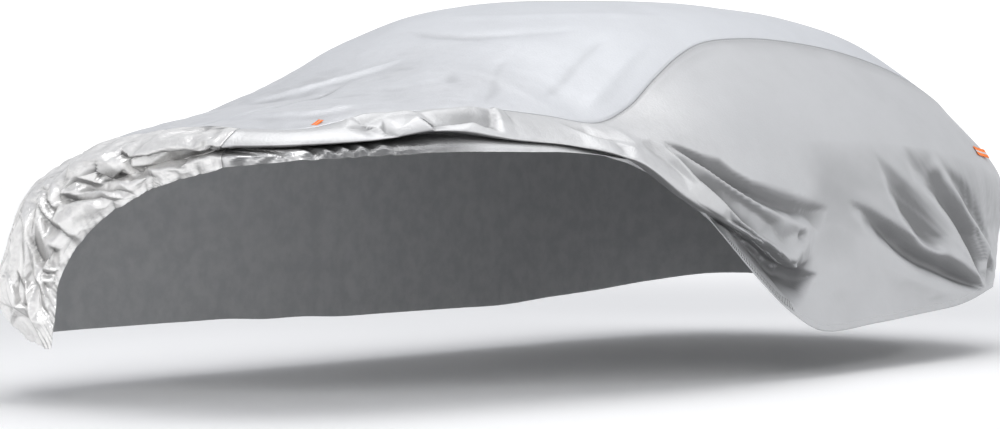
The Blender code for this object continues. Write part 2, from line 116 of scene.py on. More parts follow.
NEAR_SIDE = [
    Side((-0.690, -0.330, 0.885), (-0.705, -0.300, 0.777)),
    Side((-0.560, -0.500, 0.885), (-0.600, -0.540, 0.797)),
    Side((-0.320, -0.590, 0.915), (-0.345, -0.665, 0.814)),
    Side((-0.090, -0.640, 0.935), (-0.120, -0.735, 0.824)),
    Side((0.160, -0.690, 0.930), (0.140, -0.780, 0.826)),
    Side((0.410, -0.740, 0.905), (0.400, -0.815, 0.824)),
    Side((0.640, -0.800, 0.885), (0.660, -0.875, 0.790)),
    Side((0.850, -0.850, 0.870), (0.860, -0.905, 0.715)),
    Side((1.080, -0.870, 0.860), (1.065, -0.920, 0.548)),
    Side((1.300, -0.875, 0.870), (1.285, -0.940, 0.372)),
    Side((1.490, -0.875, 0.880), (1.490, -0.940, 0.250)),
    Side((1.760, -0.880, 0.880), (1.690, -0.940, 0.174)),
    Side((2.070, -0.885, 0.880), (2.070, -0.940, 0.183)),
    Side((2.400, -0.885, 0.860), (2.410, -0.930, 0.201)),
    Side((2.750, -0.880, 0.830), (2.750, -0.920, 0.224)),
    Side((3.090, -0.860, 0.770), (3.020, -0.885, 0.263)),
    Side((3.410, -0.730, 0.700), (3.350, -0.720, 0.275)),
    Side((3.540, -0.460, 0.670), (3.490, -0.460, 0.280)),
]

# The turned edge: the cloth rolls over at the lip, goes back in to the tuck, and out again in a band.
Turn = namedtuple("Turn", "lip tuck band")
TURNS = [
    Turn((-0.735, -0.325, 0.843), (-0.660, -0.270, 0.835), (-0.720, -0.310, 0.808)),
    Turn((-0.600, -0.520, 0.846), (-0.545, -0.460, 0.842), (-0.600, -0.530, 0.820)),
    Turn((-0.370, -0.635, 0.863), (-0.330, -0.570, 0.866), (-0.350, -0.650, 0.838)),
    Turn((-0.130, -0.690, 0.893), (-0.110, -0.620, 0.885), (-0.110, -0.715, 0.850)),
    Turn((0.140, -0.755, 0.866), (0.150, -0.690, 0.872), (0.140, -0.765, 0.845)),
    Turn((0.400, -0.810, 0.846), (0.400, -0.750, 0.860), (0.400, -0.795, 0.838)),
    Turn((0.620, -0.905, 0.793), (0.630, -0.850, 0.800), (0.645, -0.865, 0.780)),
    Turn((0.840, -0.945, 0.672), (0.850, -0.905, 0.672), (0.850, -0.890, 0.695)),
    Turn((1.080, -0.950, 0.587), (1.070, -0.880, 0.600), (1.060, -0.905, 0.568)),
    Turn((1.300, -0.960, 0.505), (1.280, -0.865, 0.520), (1.280, -0.915, 0.425)),
    Turn((1.500, -0.960, 0.415), (1.470, -0.860, 0.430), (1.480, -0.920, 0.305)),
]
PLAIN_TURN = (0.55, 0.75, 0.88)  # lip, tuck and band of a plain side: shares of the way from waist to hem
WAIST_SHARE = 0.45  # share of the way down a plain side at which its widest line lies
SHOULDER, SKIRT = 0.45, 0.5  # how far the cloth keeps out above that line and below it

# The front panel, from the hood down to the hem: points from its raised edge round to the far side.
NOSE_STEPS = (0.0, 0.20, 0.45, 0.65, 0.80, 1.0)
Nose = namedtuple("Nose", "edge band tuck lip roll crest middle corner")
NOSE = [
    Nose(
        (-0.721, 0.00, 0.712), (-0.745, 0.03, 0.745), (-0.700, 0.07, 0.770), (-0.750, 0.08, 0.800),
        (-0.735, 0.10, 0.840), (-0.670, 0.16, 0.855), (-0.630, 0.32, 0.840), (-0.560, 0.56, 0.812),
    ),
    Nose(
        (-0.751, 0.25, 0.589), (-0.800, 0.30, 0.620), (-0.785, 0.35, 0.655), (-0.805, 0.41, 0.680),
        (-0.805, 0.46, 0.690), (-0.780, 0.51, 0.695), (-0.730, 0.60, 0.690), (-0.650, 0.72, 0.675),
    ),
    Nose(
        (-0.770, 0.40, 0.420), (-0.820, 0.44, 0.430), (-0.810, 0.48, 0.440), (-0.840, 0.53, 0.440),
        (-0.845, 0.57, 0.440), (-0.830, 0.61, 0.435), (-0.790, 0.68, 0.430), (-0.710, 0.78, 0.425),
    ),
    Nose(
        (-0.775, 0.42, 0.300), (-0.815, 0.46, 0.310), (-0.815, 0.50, 0.320), (-0.850, 0.55, 0.330),
        (-0.855, 0.59, 0.335), (-0.840, 0.62, 0.335), (-0.790, 0.70, 0.335), (-0.700, 0.79, 0.335),
    ),
    Nose(
        (-0.790, 0.42, 0.187), (-0.795, 0.46, 0.190), (-0.785, 0.50, 0.195), (-0.770, 0.55, 0.205),
        (-0.760, 0.59, 0.210), (-0.745, 0.62, 0.215), (-0.700, 0.70, 0.225), (-0.620, 0.79, 0.230),
    ),
]
TURNED = 5  # of the stretches between a nose line's points, those up to its crest
NOSE_FADE = 8  # how fast the cross seam's bow is lost down the front

# %% [markdown]
# ## Smooth curves through the tables
# A Catmull-Rom curve passes through every point that it is given, so what is in the table is what the
# cloth touches. The centripetal form is used, since it doesn't loop where points lie close together.


# %% Curves and surfaces
def through(points, at):
    """A point on the smooth curve through the points, at 0 at the first and 1 more at each one after it."""
    last = len(points) - 1
    span = min(int(at), last - 1)
    share = at - span
    start, end = Vector(points[span]), Vector(points[span + 1])
    before = Vector(points[span - 1]) if span else start * 2 - end
    after = Vector(points[span + 2]) if span + 2 <= last else end * 2 - start
    length = max((end - start).length, 1e-6) ** 0.5
    length_before = max((start - before).length, 1e-6) ** 0.5
    length_after = max((after - end).length, 1e-6) ** 0.5
    leave = length * (
        (start - before) / length_before
        - (end - before) / (length_before + length)
        + (end - start) / length
    )
    reach = length * (
        (end - start) / length - (after - start) / (length + length_after) + (after - end) / length_after
    )
    square, cube = share * share, share**3
    return (
        start * (2 * cube - 3 * square + 1)
        + leave * (cube - 2 * square + share)
        + end * (3 * square - 2 * cube)
        + reach * (cube - square)
    )


def along(rows, at):
    """The row of a table read between its rows, field by field."""
    fields = zip(*rows)
    return [
        through([Vector(p) if isinstance(p, tuple) else Vector((p, 0, 0)) for p in field], at)
        for field in fields
    ]


def window(rows, at):
    """The few rows that a curve needs around at, and at counted from the first of them."""
    first = max(0, min(int(at), len(rows) - 2) - 1)
    return rows[first : first + 4], at - first


def drop(seam, waist, hem, share):
    """A plain side from its seam at 0, over its widest line, to the hem at 1."""
    if share < WAIST_SHARE:
        part = share / WAIST_SHARE
        bend = waist + Vector((0, 0, (seam.z - waist.z) * SHOULDER))
        ends = (seam, bend, waist)
    else:
        part = (share - WAIST_SHARE) / (1 - WAIST_SHARE)
        bend = waist - Vector((0, 0, (waist.z - hem.z) * SKIRT))
        ends = (waist, bend, hem)
    return ends[0] * (1 - part) ** 2 + ends[1] * 2 * part * (1 - part) + ends[2] * part**2


@cache
def top_row(at):
    return along(*window(STATIONS, at))


def top_point(row, across):
    """The top panel: across goes from -1 at the near seam to 1 at the far one."""
    near, far, crown, bow = row
    point = near.lerp(far, (across + 1) / 2)
    point.z += crown.x * (1 - abs(across) ** CROWN_POWER)
    point.x -= bow.x * (1 - across**2)
    return point


def tail_point(down, across):
    """The strip down the tail, between the last stations of the two sides."""
    last = len(STATIONS) - 1
    near = through(near_line(last), down * TURNED)
    far = drop(*far_row(last), down)
    point = near.lerp(far, (across + 1) / 2)
    point.z += STATIONS[last].crown * (1 - abs(across) ** CROWN_POWER) * (1 - down) ** 2
    point.x -= STATIONS[last].bow * (1 - across**2)
    return point


@cache
def far_row(at):
    return (top_row(at)[1], *along(*window(FAR_SIDE, at)))


@cache
def near_line(at):
    """The six points that the near side passes through at a station: seam, waist, lip, tuck, band, hem."""
    numbers, place = window(list(range(len(STATIONS))), at)
    rows = []
    for number in numbers:
        seam, (waist, hem) = Vector(STATIONS[number].near), map(Vector, NEAR_SIDE[number])
        if number < len(TURNS):
            turn = TURNS[number]
        else:
            turn = [drop(seam, waist, hem, WAIST_SHARE + share * (1 - WAIST_SHARE)) for share in PLAIN_TURN]
        rows.append([tuple(p) for p in (seam, waist, *turn, hem)])
    return along(rows, place)


FIRST_LINE, FIRST_ROW, FIRST_FAR = near_line(0), top_row(0), far_row(0)
NOSE_TOP = [*reversed(FIRST_LINE), top_point(FIRST_ROW, -1 / 3), top_point(FIRST_ROW, 1 / 3)]


@cache
def nose_top(across):
    """The cross seam: up the near side's first station, then over the hood."""
    if across <= TURNED:
        return through(FIRST_LINE, TURNED - across)
    return top_point(FIRST_ROW, (across - TURNED) / (len(Nose._fields) - TURNED) * 2 - 1)


@cache
def nose_line(down):
    """The points that the front panel passes through at a height, from its raised edge to the far seam."""
    rows = [NOSE_TOP] + [list(row) for row in NOSE]
    place = 0
    while place < len(NOSE_STEPS) - 2 and down > NOSE_STEPS[place + 1]:
        place += 1
    at = place + (down - NOSE_STEPS[place]) / (NOSE_STEPS[place + 1] - NOSE_STEPS[place])
    return [*(through(column, at) for column in zip(*rows)), drop(*FIRST_FAR, down)]


def nose_point(across, down):
    """The front panel: across counts the points from its raised edge round, down runs to the hem."""
    if down == 0:
        return nose_top(across)
    bow = nose_top(across) - through([*NOSE_TOP, drop(*FIRST_FAR, 0)], across)
    return through(nose_line(down), across) + bow * (1 - down) ** NOSE_FADE


# %% [markdown]
# ## The folds
# Cloth that is pulled folds along lines that run from where it is held, and stays flat in between. So the
# main folds are tables of lines, in metres, with a height in millimetres at each of their points: a
# ridge is a line of high points, and a pocket is a line of deep ones beside it. Between the lines the
# cloth lies in flat facets. Softer folds, which have a round back, are lines with one height and a width.
#
# The lines of the near side, the front and the hood were picked on the photo in pixels, with heights
# chosen one by one. Another program turned the pixels into the metres below, which are rounded to 5 mm.
# Only the hem's lines were written in metres from the start.

# %% The tables of the folds
# The near side's lines are given on the side view: x, z, and then the height in mm.
NEAR_FOLDS = [
    # The long pleats: the top one's upper edge and its bottom, then the ridge under it.
    [(0.83, 0.865, 0), (0.895, 0.85, 2), (0.985, 0.82, 4), (1.09, 0.80, 4), (1.155, 0.755, 4),
     (1.23, 0.725, 4), (1.345, 0.70, 4), (1.465, 0.675, 3), (1.615, 0.65, 2), (1.80, 0.625, 0)],
    [(0.84, 0.855, -8), (0.905, 0.83, -24), (0.97, 0.80, -38), (1.065, 0.755, -46), (1.16, 0.71, -50),
     (1.255, 0.67, -46), (1.36, 0.64, -42), (1.46, 0.625, -38), (1.58, 0.61, -28), (1.80, 0.625, 0)],
    [(0.825, 0.86, 0), (0.92, 0.805, 3), (1.01, 0.765, 5), (1.105, 0.715, 6), (1.205, 0.67, 7),
     (1.315, 0.625, 8), (1.405, 0.595, 8), (1.50, 0.565, 6), (1.73, 0.54, 0)],
    # The long slope under the ridge, with the crease between its darker and its lighter part.
    [(1.07, 0.71, -16), (1.16, 0.665, -22), (1.25, 0.62, -26), (1.335, 0.57, -28), (1.40, 0.51, -24),
     (1.435, 0.47, -12), (1.445, 0.445, -2)],
    [(0.83, 0.83, -8), (0.87, 0.79, -20), (0.915, 0.74, -28), (0.98, 0.71, -34), (1.03, 0.685, -38),
     (1.105, 0.63, -42), (1.19, 0.575, -38), (1.275, 0.53, -28), (1.365, 0.49, -14), (1.435, 0.455, -4)],
    # The thin ridge that becomes the crest of the rolled edge, the valley beside it, and the roll's foot.
    [(0.81, 0.845, 3), (0.845, 0.80, 12), (0.88, 0.755, 13), (0.925, 0.725, 13), (0.98, 0.69, 14),
     (1.045, 0.645, 16), (1.13, 0.585, 18), (1.205, 0.55, 18), (1.28, 0.515, 16), (1.36, 0.48, 14),
     (1.43, 0.44, 8), (1.485, 0.42, 0)],
    [(0.72, 0.85, -6), (0.755, 0.83, -12), (0.79, 0.80, -12), (0.83, 0.76, -6), (0.875, 0.72, 2)],
    [(0.91, 0.65, 2), (1.02, 0.61, 8), (1.14, 0.565, 12), (1.265, 0.515, 12), (1.375, 0.465, 10),
     (1.435, 0.435, 6), (1.495, 0.41, 0)],
    # The recess under the roll: two dark grooves with a light streak between them, and the pocket's floor.
    [(0.995, 0.615, -2), (1.12, 0.575, -10), (1.225, 0.535, -14), (1.325, 0.495, -18), (1.375, 0.46, -24),
     (1.43, 0.43, -30), (1.585, 0.405, -26)],
    [(1.215, 0.545, -4), (1.295, 0.515, -2), (1.37, 0.48, 0), (1.43, 0.445, -6), (1.52, 0.415, -14)],
    [(1.23, 0.53, -10), (1.32, 0.49, -20), (1.42, 0.445, -28), (1.475, 0.41, -36), (1.54, 0.385, -44),
     (1.61, 0.365, -48)],
    [(1.49, 0.345, -26), (1.555, 0.335, -28), (1.61, 0.325, -26)],
    [(1.52, 0.32, -24), (1.54, 0.295, -14)],
    # The upper edge of the tape, the hem, and the zigzag where the folds run out into flat cloth.
    [(1.085, 0.595, -3), (1.20, 0.55, -8), (1.27, 0.52, -12), (1.39, 0.435, -14), (1.475, 0.345, -14),
     (1.505, 0.30, -10), (1.54, 0.265, 0)],
    [(0.925, 0.64, 0), (1.105, 0.56, 0), (1.20, 0.48, 0), (1.29, 0.38, 0), (1.41, 0.29, 0), (1.525, 0.24, 0)],
    [(1.80, 0.625, 0), (1.77, 0.575, 0), (1.73, 0.54, 0), (1.59, 0.51, 0), (1.51, 0.475, 0), (1.47, 0.44, 0),
     (1.485, 0.42, 0), (1.625, 0.40, 0), (1.715, 0.38, 0), (1.665, 0.34, 0),
     (1.60, 0.30, 0), (1.54, 0.265, 0)],
    # The two small pockets behind the roll.
    [(1.495, 0.54, -10), (1.515, 0.525, -30), (1.495, 0.51, -14)],
    [(1.495, 0.54, -10), (1.565, 0.54, -3), (1.73, 0.54, 0)],
    [(1.495, 0.51, -14), (1.57, 0.505, -1)],
    [(1.495, 0.51, -14), (1.465, 0.48, -12), (1.445, 0.445, -2)],
    [(1.605, 0.40, -24), (1.63, 0.365, -34), (1.61, 0.325, -30), (1.54, 0.295, -14)],
    [(0.72, 0.87, 0), (0.77, 0.87, 0), (0.83, 0.865, 0)],
    [(0.68, 0.84, 0), (0.715, 0.80, 0), (0.77, 0.74, 0), (0.85, 0.68, 0), (0.925, 0.64, 0)],
    # The tail: the lowest valley, its upper edge, its bottom and its lower edge.
    [(1.91, 0.655, 0), (2.08, 0.615, 3), (2.23, 0.565, 6), (2.35, 0.52, 9), (2.46, 0.475, 12),
     (2.60, 0.435, 13), (2.735, 0.395, 11), (2.855, 0.35, 8), (2.945, 0.315, 5), (3.02, 0.275, 0)],
    [(1.94, 0.645, -2), (2.01, 0.62, -8), (2.095, 0.58, -20), (2.195, 0.54, -38), (2.305, 0.485, -54),
     (2.42, 0.44, -62), (2.545, 0.395, -68), (2.685, 0.36, -66), (2.815, 0.32, -52), (2.92, 0.29, -30),
     (3.02, 0.275, 0)],
    [(1.945, 0.60, 0), (2.03, 0.55, 0), (2.155, 0.485, 0), (2.285, 0.43, 0), (2.445, 0.37, -4),
     (2.60, 0.335, -4), (2.74, 0.30, -3), (2.89, 0.275, 0), (3.02, 0.265, 0)],
    # The second valley.
    [(2.115, 0.835, 0), (2.205, 0.785, 2), (2.315, 0.72, 4), (2.41, 0.65, 6), (2.54, 0.565, 8),
     (2.65, 0.495, 9), (2.715, 0.425, 9)],
    [(2.125, 0.815, -1), (2.17, 0.765, -6), (2.255, 0.69, -18), (2.36, 0.61, -34), (2.47, 0.535, -40),
     (2.57, 0.47, -36), (2.68, 0.405, -14)],
    [(2.105, 0.82, 0), (2.14, 0.755, 0), (2.20, 0.67, 2), (2.30, 0.59, 5), (2.40, 0.52, 10)],
    # The third valley, with the faint one that leads into it.
    [(2.34, 0.895, 0), (2.35, 0.835, 0), (2.365, 0.78, 1), (2.385, 0.74, 3), (2.485, 0.685, 7),
     (2.58, 0.635, 10), (2.685, 0.575, 13), (2.77, 0.515, 14), (2.83, 0.45, 14), (2.88, 0.39, 12),
     (2.96, 0.315, 6)],
    [(2.34, 0.895, 0), (2.42, 0.83, 0), (2.56, 0.835, 0)],
    [(2.34, 0.865, -1), (2.38, 0.805, -9), (2.43, 0.755, -12), (2.49, 0.70, -6)],
    [(2.435, 0.805, -2), (2.495, 0.75, -10), (2.59, 0.685, -30), (2.675, 0.63, -46), (2.77, 0.57, -54),
     (2.85, 0.50, -56), (2.915, 0.43, -52), (2.955, 0.37, -44), (2.995, 0.31, -16), (3.02, 0.275, 0)],
    # The keen ridge that runs down to the knot, and the last valley behind it.
    [(2.56, 0.83, 0), (2.61, 0.77, 10), (2.69, 0.70, 18), (2.78, 0.64, 23), (2.87, 0.57, 25),
     (2.96, 0.51, 24), (3.05, 0.44, 17), (3.135, 0.38, 6)],
    [(2.58, 0.81, -2), (2.635, 0.77, -8), (2.75, 0.705, -26), (2.825, 0.65, -34), (2.905, 0.585, -34),
     (2.98, 0.515, -24), (3.08, 0.44, -8)],
    [(2.56, 0.835, 0), (2.65, 0.77, 0), (2.775, 0.73, 0), (2.85, 0.685, 0), (2.925, 0.61, 0), (3.01, 0.53, 0),
     (3.115, 0.44, 0), (3.22, 0.375, 0)],
    # The knot, in which the folds of the tail meet.
    [(3.015, 0.39, 8), (3.0, 0.35, 9), (3.02, 0.275, 0)],
    [(3.06, 0.40, -4), (3.10, 0.355, -26), (3.06, 0.31, -16), (3.02, 0.275, 0)],
    [(3.22, 0.375, 0), (3.18, 0.325, 0), (3.06, 0.27, 0)],
    [(1.91, 0.655, 0), (1.875, 0.64, 0), (1.945, 0.60, 0)],
    [(2.145, 0.41, 0), (2.325, 0.355, 6), (2.59, 0.295, 6), (2.885, 0.26, 2)],
    # The raised front: the seam over its edge, and the second flap with its keen lower fold.
    [(-0.72, 0.86, 0), (-0.63, 0.89, 0), (-0.50, 0.895, 0), (-0.43, 0.90, 0)],
    [(-0.44, 0.895, 0), (-0.385, 0.92, 14), (-0.335, 0.93, 22), (-0.22, 0.95, 20), (-0.18, 0.945, 16),
     (-0.15, 0.94, 8), (-0.095, 0.95, 14)],
    [(-0.44, 0.895, 0), (-0.37, 0.91, -2), (-0.28, 0.93, 4), (-0.205, 0.935, 8), (-0.18, 0.925, 14),
     (-0.20, 0.915, 22)],
    [(-0.365, 0.915, -8), (-0.37, 0.90, -18)],
    [(-0.375, 0.90, -12), (-0.34, 0.895, 4), (-0.32, 0.895, -14), (-0.275, 0.895, 4), (-0.20, 0.915, 22)],
    [(-0.385, 0.865, -4), (-0.335, 0.87, -2), (-0.265, 0.86, -8), (-0.165, 0.87, 4), (-0.075, 0.885, 6),
     (0.0, 0.91, 13), (0.05, 0.895, 8), (0.095, 0.88, 6), (0.14, 0.87, 3)],
    [(-0.20, 0.915, 22), (-0.15, 0.875, 4)],
    [(-0.20, 0.915, 22), (-0.125, 0.91, -6), (0.0, 0.91, 13)],
    # The four-sided facet with its keen end.
    [(-0.12, 0.94, 14), (-0.025, 0.945, 18), (0.08, 0.955, 22), (0.17, 0.965, 26)],
    [(-0.165, 0.91, -10), (-0.085, 0.912, -12), (0.005, 0.918, -10), (0.09, 0.915, -12)],
    [(0.17, 0.965, 26), (0.13, 0.94, -3), (0.095, 0.91, -10)],
    [(0.205, 0.96, 16), (0.125, 0.915, 14)],
    [(0.30, 0.955, 4), (0.185, 0.905, 4)],
    # The soft valley before the long pleats.
    [(0.43, 0.93, 0), (0.485, 0.91, -8), (0.515, 0.895, -13), (0.525, 0.875, -10), (0.585, 0.87, -2)],
    [(0.46, 0.935, 2), (0.56, 0.925, 7), (0.64, 0.92, 8), (0.695, 0.918, 3)],
    [(0.46, 0.90, 2), (0.49, 0.875, 8), (0.545, 0.865, 5)],
    [(0.21, 0.96, 0), (0.47, 0.94, 0), (0.68, 0.92, 0), (0.77, 0.905, 0)],
    [(0.58, 0.86, 0), (0.67, 0.85, 6), (0.71, 0.845, 0)],
    [(0.59, 0.845, -4), (0.64, 0.835, 8), (0.67, 0.815, 2)],
]
# The same, for the band of cloth under the gap: ridges and valleys that run down to the hem, front to back.
HEM_FOLDS = [
    [(-0.725, 0.84, -6), (-0.72, 0.82, -12), (-0.725, 0.795, -4)],
    [(-0.705, 0.84, 8), (-0.695, 0.82, 14), (-0.705, 0.795, 6)],
    [(-0.685, 0.84, -8), (-0.675, 0.82, -12), (-0.685, 0.80, -6)],
    [(-0.67, 0.842, 6), (-0.655, 0.82, 12), (-0.665, 0.80, 6)],
    [(-0.645, 0.842, -8), (-0.635, 0.825, -16), (-0.65, 0.80, -4)],
    [(-0.605, 0.848, 20), (-0.62, 0.825, 8), (-0.625, 0.805, 6)],
    [(-0.59, 0.845, 10), (-0.585, 0.825, 16), (-0.60, 0.805, 8)],
    [(-0.57, 0.848, -12), (-0.565, 0.825, -18), (-0.575, 0.81, -6)],
    [(-0.545, 0.85, 4), (-0.53, 0.83, 10), (-0.545, 0.81, 4)],
    [(-0.515, 0.852, -10), (-0.505, 0.83, -14), (-0.515, 0.812, -5)],
    [(-0.48, 0.855, 6), (-0.475, 0.835, 12), (-0.485, 0.815, 5)],
    [(-0.45, 0.858, -12), (-0.455, 0.835, -14), (-0.455, 0.818, -5)],
    [(-0.41, 0.86, 4), (-0.425, 0.84, 12), (-0.42, 0.82, 4)],
    [(-0.385, 0.86, -10), (-0.39, 0.84, -12), (-0.39, 0.822, -4)],
    [(-0.35, 0.862, 3), (-0.355, 0.842, 8), (-0.35, 0.825, 3)],
    [(-0.30, 0.865, -6), (-0.31, 0.845, -7), (-0.30, 0.828, -3)],
]
# The front's lines are given on the flat panel: metres down from the top, and from the raised edge.
NOSE_FOLDS = [
    # The bright dome by the seam and the keen triangle under it.
    [(0.605, 0.375, 2), (0.715, 0.24, -4), (0.705, 0.21, -8), (0.705, 0.19, -6)],
    [(0.34, 0.565, 6), (0.605, 0.375, 2), (0.69, 0.265, 18), (0.625, 0.235, 22), (0.55, 0.21, 22),
     (0.49, 0.19, 20), (0.445, 0.16, 14)],
    [(0.69, 0.265, 18), (0.65, 0.205, 8), (0.655, 0.19, -6)],
    [(0.675, 0.38, 8), (0.45, 0.50, 10), (0.405, 0.52, 6), (0.605, 0.375, 2)],
    [(0.805, 0.265, 6), (0.78, 0.27, -6), (0.71, 0.195, -10)],
    [(0.55, 0.18, -4), (0.535, 0.16, -18), (0.50, 0.15, -16), (0.47, 0.13, -10)],
    [(0.545, 0.185, 16), (0.505, 0.165, 14), (0.47, 0.14, 12), (0.445, 0.16, 14)],
    [(0.445, 0.155, 10), (0.45, 0.125, -18), (0.41, 0.105, -4)],
    # Long low folds from there to the raised edge.
    [(0.625, 0.195, 8), (0.545, 0.155, 12), (0.475, 0.11, 10), (0.40, 0.035, 8)],
    [(0.65, 0.19, -8), (0.565, 0.145, -12), (0.48, 0.07, -11), (0.385, 0.01, -4)],
    [(0.625, 0.165, 10), (0.555, 0.11, 13), (0.485, 0.055, 11), (0.43, 0.02, 4)],
    [(0.70, 0.19, 8), (0.655, 0.17, 10), (0.61, 0.14, 10)],
    [(0.70, 0.165, -14), (0.67, 0.16, -20), (0.63, 0.135, -20), (0.605, 0.12, -10), (0.535, 0.07, -11),
     (0.485, 0.03, -6)],
    [(0.69, 0.155, 6), (0.64, 0.125, 8), (0.61, 0.105, 10), (0.555, 0.06, 12), (0.525, 0.03, 4)],
    # The folds that fan out and run down from the corner of the triangle.
    [(0.83, 0.28, 2), (0.795, 0.235, -14), (0.825, 0.24, -2)],
    [(0.82, 0.235, 8), (0.75, 0.19, 10), (0.69, 0.155, 6)],
    [(0.79, 0.225, -6), (0.77, 0.195, -18), (0.735, 0.16, -14)],
    [(0.83, 0.23, 10), (0.79, 0.185, 12), (0.73, 0.13, 10), (0.70, 0.06, 10), (0.67, 0.03, 4)],
    [(0.82, 0.20, -8), (0.78, 0.16, -20), (0.75, 0.125, -14), (0.72, 0.07, -12), (0.70, 0.035, -6)],
    [(0.855, 0.24, -8), (0.845, 0.19, 4), (0.81, 0.145, 12), (0.785, 0.10, 8)],
    # The drape along the silhouette.
    [(0.845, 0.33, 8), (0.91, 0.285, 14), (0.93, 0.24, 16), (0.92, 0.19, 16), (0.895, 0.14, 16),
     (0.895, 0.105, 12), (0.905, 0.08, 6)],
    [(0.855, 0.33, -4), (0.925, 0.29, -8), (0.95, 0.245, -4)],
    [(0.90, 0.175, -6), (0.895, 0.15, -18), (0.885, 0.115, -18), (0.885, 0.075, -6)],
    # The dark pockets by the raised edge.
    [(0.805, 0.09, 6), (0.77, 0.06, 8), (0.755, 0.04, 4)],
    [(0.825, 0.07, -18), (0.795, 0.06, -24), (0.785, 0.045, -18), (0.825, 0.04, -20), (0.835, 0.055, -16)],
    [(0.85, 0.055, 8), (0.825, 0.03, 10), (0.80, 0.015, 2)],
    [(0.89, 0.07, -12), (0.86, 0.04, -14), (0.83, 0.02, -4)],
    [(0.895, 0.055, 8), (0.865, 0.03, 10), (0.84, 0.01, 2)],
    # The foot: three drapes side by side, and the small folds at their edge.
    [(1.04, 0.17, 4), (1.035, 0.15, -14), (1.02, 0.125, -14)],
    [(1.02, 0.145, 10), (1.02, 0.115, 14), (1.035, 0.095, 15), (1.06, 0.065, 15), (1.09, 0.05, 8)],
    [(1.0, 0.135, 2), (0.955, 0.10, -15), (0.945, 0.055, -18), (0.975, 0.045, -14), (1.015, 0.06, -4)],
    [(0.92, 0.10, 8), (0.91, 0.055, 12), (0.93, 0.04, 12), (0.96, 0.03, 8)],
    [(1.09, 0.17, 4), (1.10, 0.155, 10), (1.145, 0.155, 6)],
    [(1.07, 0.145, -15), (1.08, 0.135, -18), (1.07, 0.12, -14)],
    [(1.135, 0.15, 8), (1.07, 0.115, 6)],
    [(1.195, 0.145, -6), (1.125, 0.11, -16), (1.14, 0.10, -14), (1.18, 0.10, -4)],
    [(1.185, 0.155, 10), (1.315, 0.18, 8), (1.365, 0.185, 4)],
    [(1.23, 0.185, -14), (1.185, 0.16, -12)],
    [(0.90, 0.04, -10), (0.885, 0.02, -8)],
    [(0.945, 0.04, 10), (0.915, 0.015, 5)],
    [(1.0, 0.045, -8), (0.97, 0.02, -6)],
    [(1.03, 0.035, 6), (0.995, 0.015, 4)],
    # The top: the ledge beside the near side's rolled edge.
    [(0.46, 0.22, 9), (0.41, 0.19, 8), (0.32, 0.18, 9), (0.23, 0.19, 8), (0.08, 0.20, 6)],
    [(0.48, 0.22, -8), (0.41, 0.18, -22), (0.32, 0.16, -24), (0.22, 0.16, -22), (0.08, 0.16, -14)],
    [(0.395, 0.16, 6), (0.32, 0.14, 6), (0.22, 0.11, 5), (0.08, 0.06, 3)],
    [(0.465, 0.21, -2), (0.405, 0.155, -12), (0.36, 0.11, -12), (0.29, 0.03, -4)],
    [(0.43, 0.17, 6), (0.40, 0.13, 8), (0.37, 0.04, 4)],
    [(0.39, 0.10, -16), (0.33, 0.045, -14), (0.295, 0.025, -4)],
    [(0.315, 0.065, 8), (0.245, 0.035, 6), (0.16, 0.025, 4)],
]
# Height in mm, below 0 for a valley. Width in mm to the left and right of the line, seen from outside.
# Then the sharpness, the shares of the length over which it starts and stops, and the line in metres.
Crease = namedtuple("Crease", "height left right sharp start stop path")
HOOD_FOLDS = [
    Crease(14, 26, 30, 1.6, 0.3, 0.3, [(0.12, 0.56), (0.01, 0.30), (0.235, 0.055), (0.48, 0.01)]),
    Crease(-14, 24, 24, 1.6, 0.25, 0.35, [(-0.54, 0.07), (-0.34, 0.025), (-0.015, -0.01), (0.165, 0.00)]),
    Crease(10, 30, 30, 1.7, 0.3, 0.3, [(-0.45, 0.08), (-0.41, -0.155), (-0.315, -0.375), (-0.015, -0.40)]),
    Crease(-7, 30, 40, 1.6, 0.3, 0.4, [(0.165, -0.61), (0.335, -0.50), (0.515, -0.38), (0.75, -0.28)]),
    Crease(6, 30, 34, 1.6, 0.3, 0.4, [(0.095, -0.595), (0.31, -0.445), (0.51, -0.305)]),
    Crease(-5, 34, 34, 1.7, 0.3, 0.4, [(0.025, -0.54), (0.265, -0.375), (0.50, -0.19)]),
    Crease(5, 34, 34, 1.7, 0.3, 0.4, [(-0.06, -0.53), (0.245, -0.255), (0.55, -0.03)]),
    Crease(-8, 30, 30, 1.7, 0.3, 0.3, [(0.45, -0.615), (0.665, -0.53), (0.915, -0.465), (1.165, -0.405)]),
    Crease(7, 30, 30, 1.7, 0.3, 0.3, [(0.61, -0.66), (0.785, -0.61), (1.03, -0.555), (1.24, -0.51)]),
    Crease(-7, 40, 40, 1.8, 0.3, 0.3, [(0.70, 0.355), (0.655, 0.02), (0.805, -0.23), (1.08, -0.375)]),
    Crease(6, 40, 40, 1.8, 0.3, 0.3, [(0.78, 0.23), (0.91, -0.045), (1.20, -0.285), (1.585, -0.415)]),
]

# %% [markdown]
# ## Nets of points
# Each panel is a net of points a few millimetres apart. With numpy the whole net moves at once, where a
# loop over its points would take minutes. The direction outwards at each point comes from its neighbours.


# %% Nets
def net(ats, shares, place):
    """The points place(at, share) for every pair, as one array."""
    return np.array([[place(at, share) for share in shares] for at in ats])


def outward(points, middle):
    """The direction away from the middle at each point of the net, square to the cloth."""
    normals = np.cross(np.gradient(points, axis=0), np.gradient(points, axis=1))
    normals /= np.maximum(np.linalg.norm(normals, axis=2, keepdims=True), 1e-9)
    return normals * np.sign(((points - np.array(middle)) * normals).sum())


def lengths(points, axis):
    """How far along the cloth each point lies from the net's first row or column, in metres."""
    steps = np.linalg.norm(np.diff(points, axis=axis), axis=2)
    start = [(0, 0), (0, 0)]
    start[axis] = (1, 0)
    return np.cumsum(np.pad(steps, start), axis=axis)


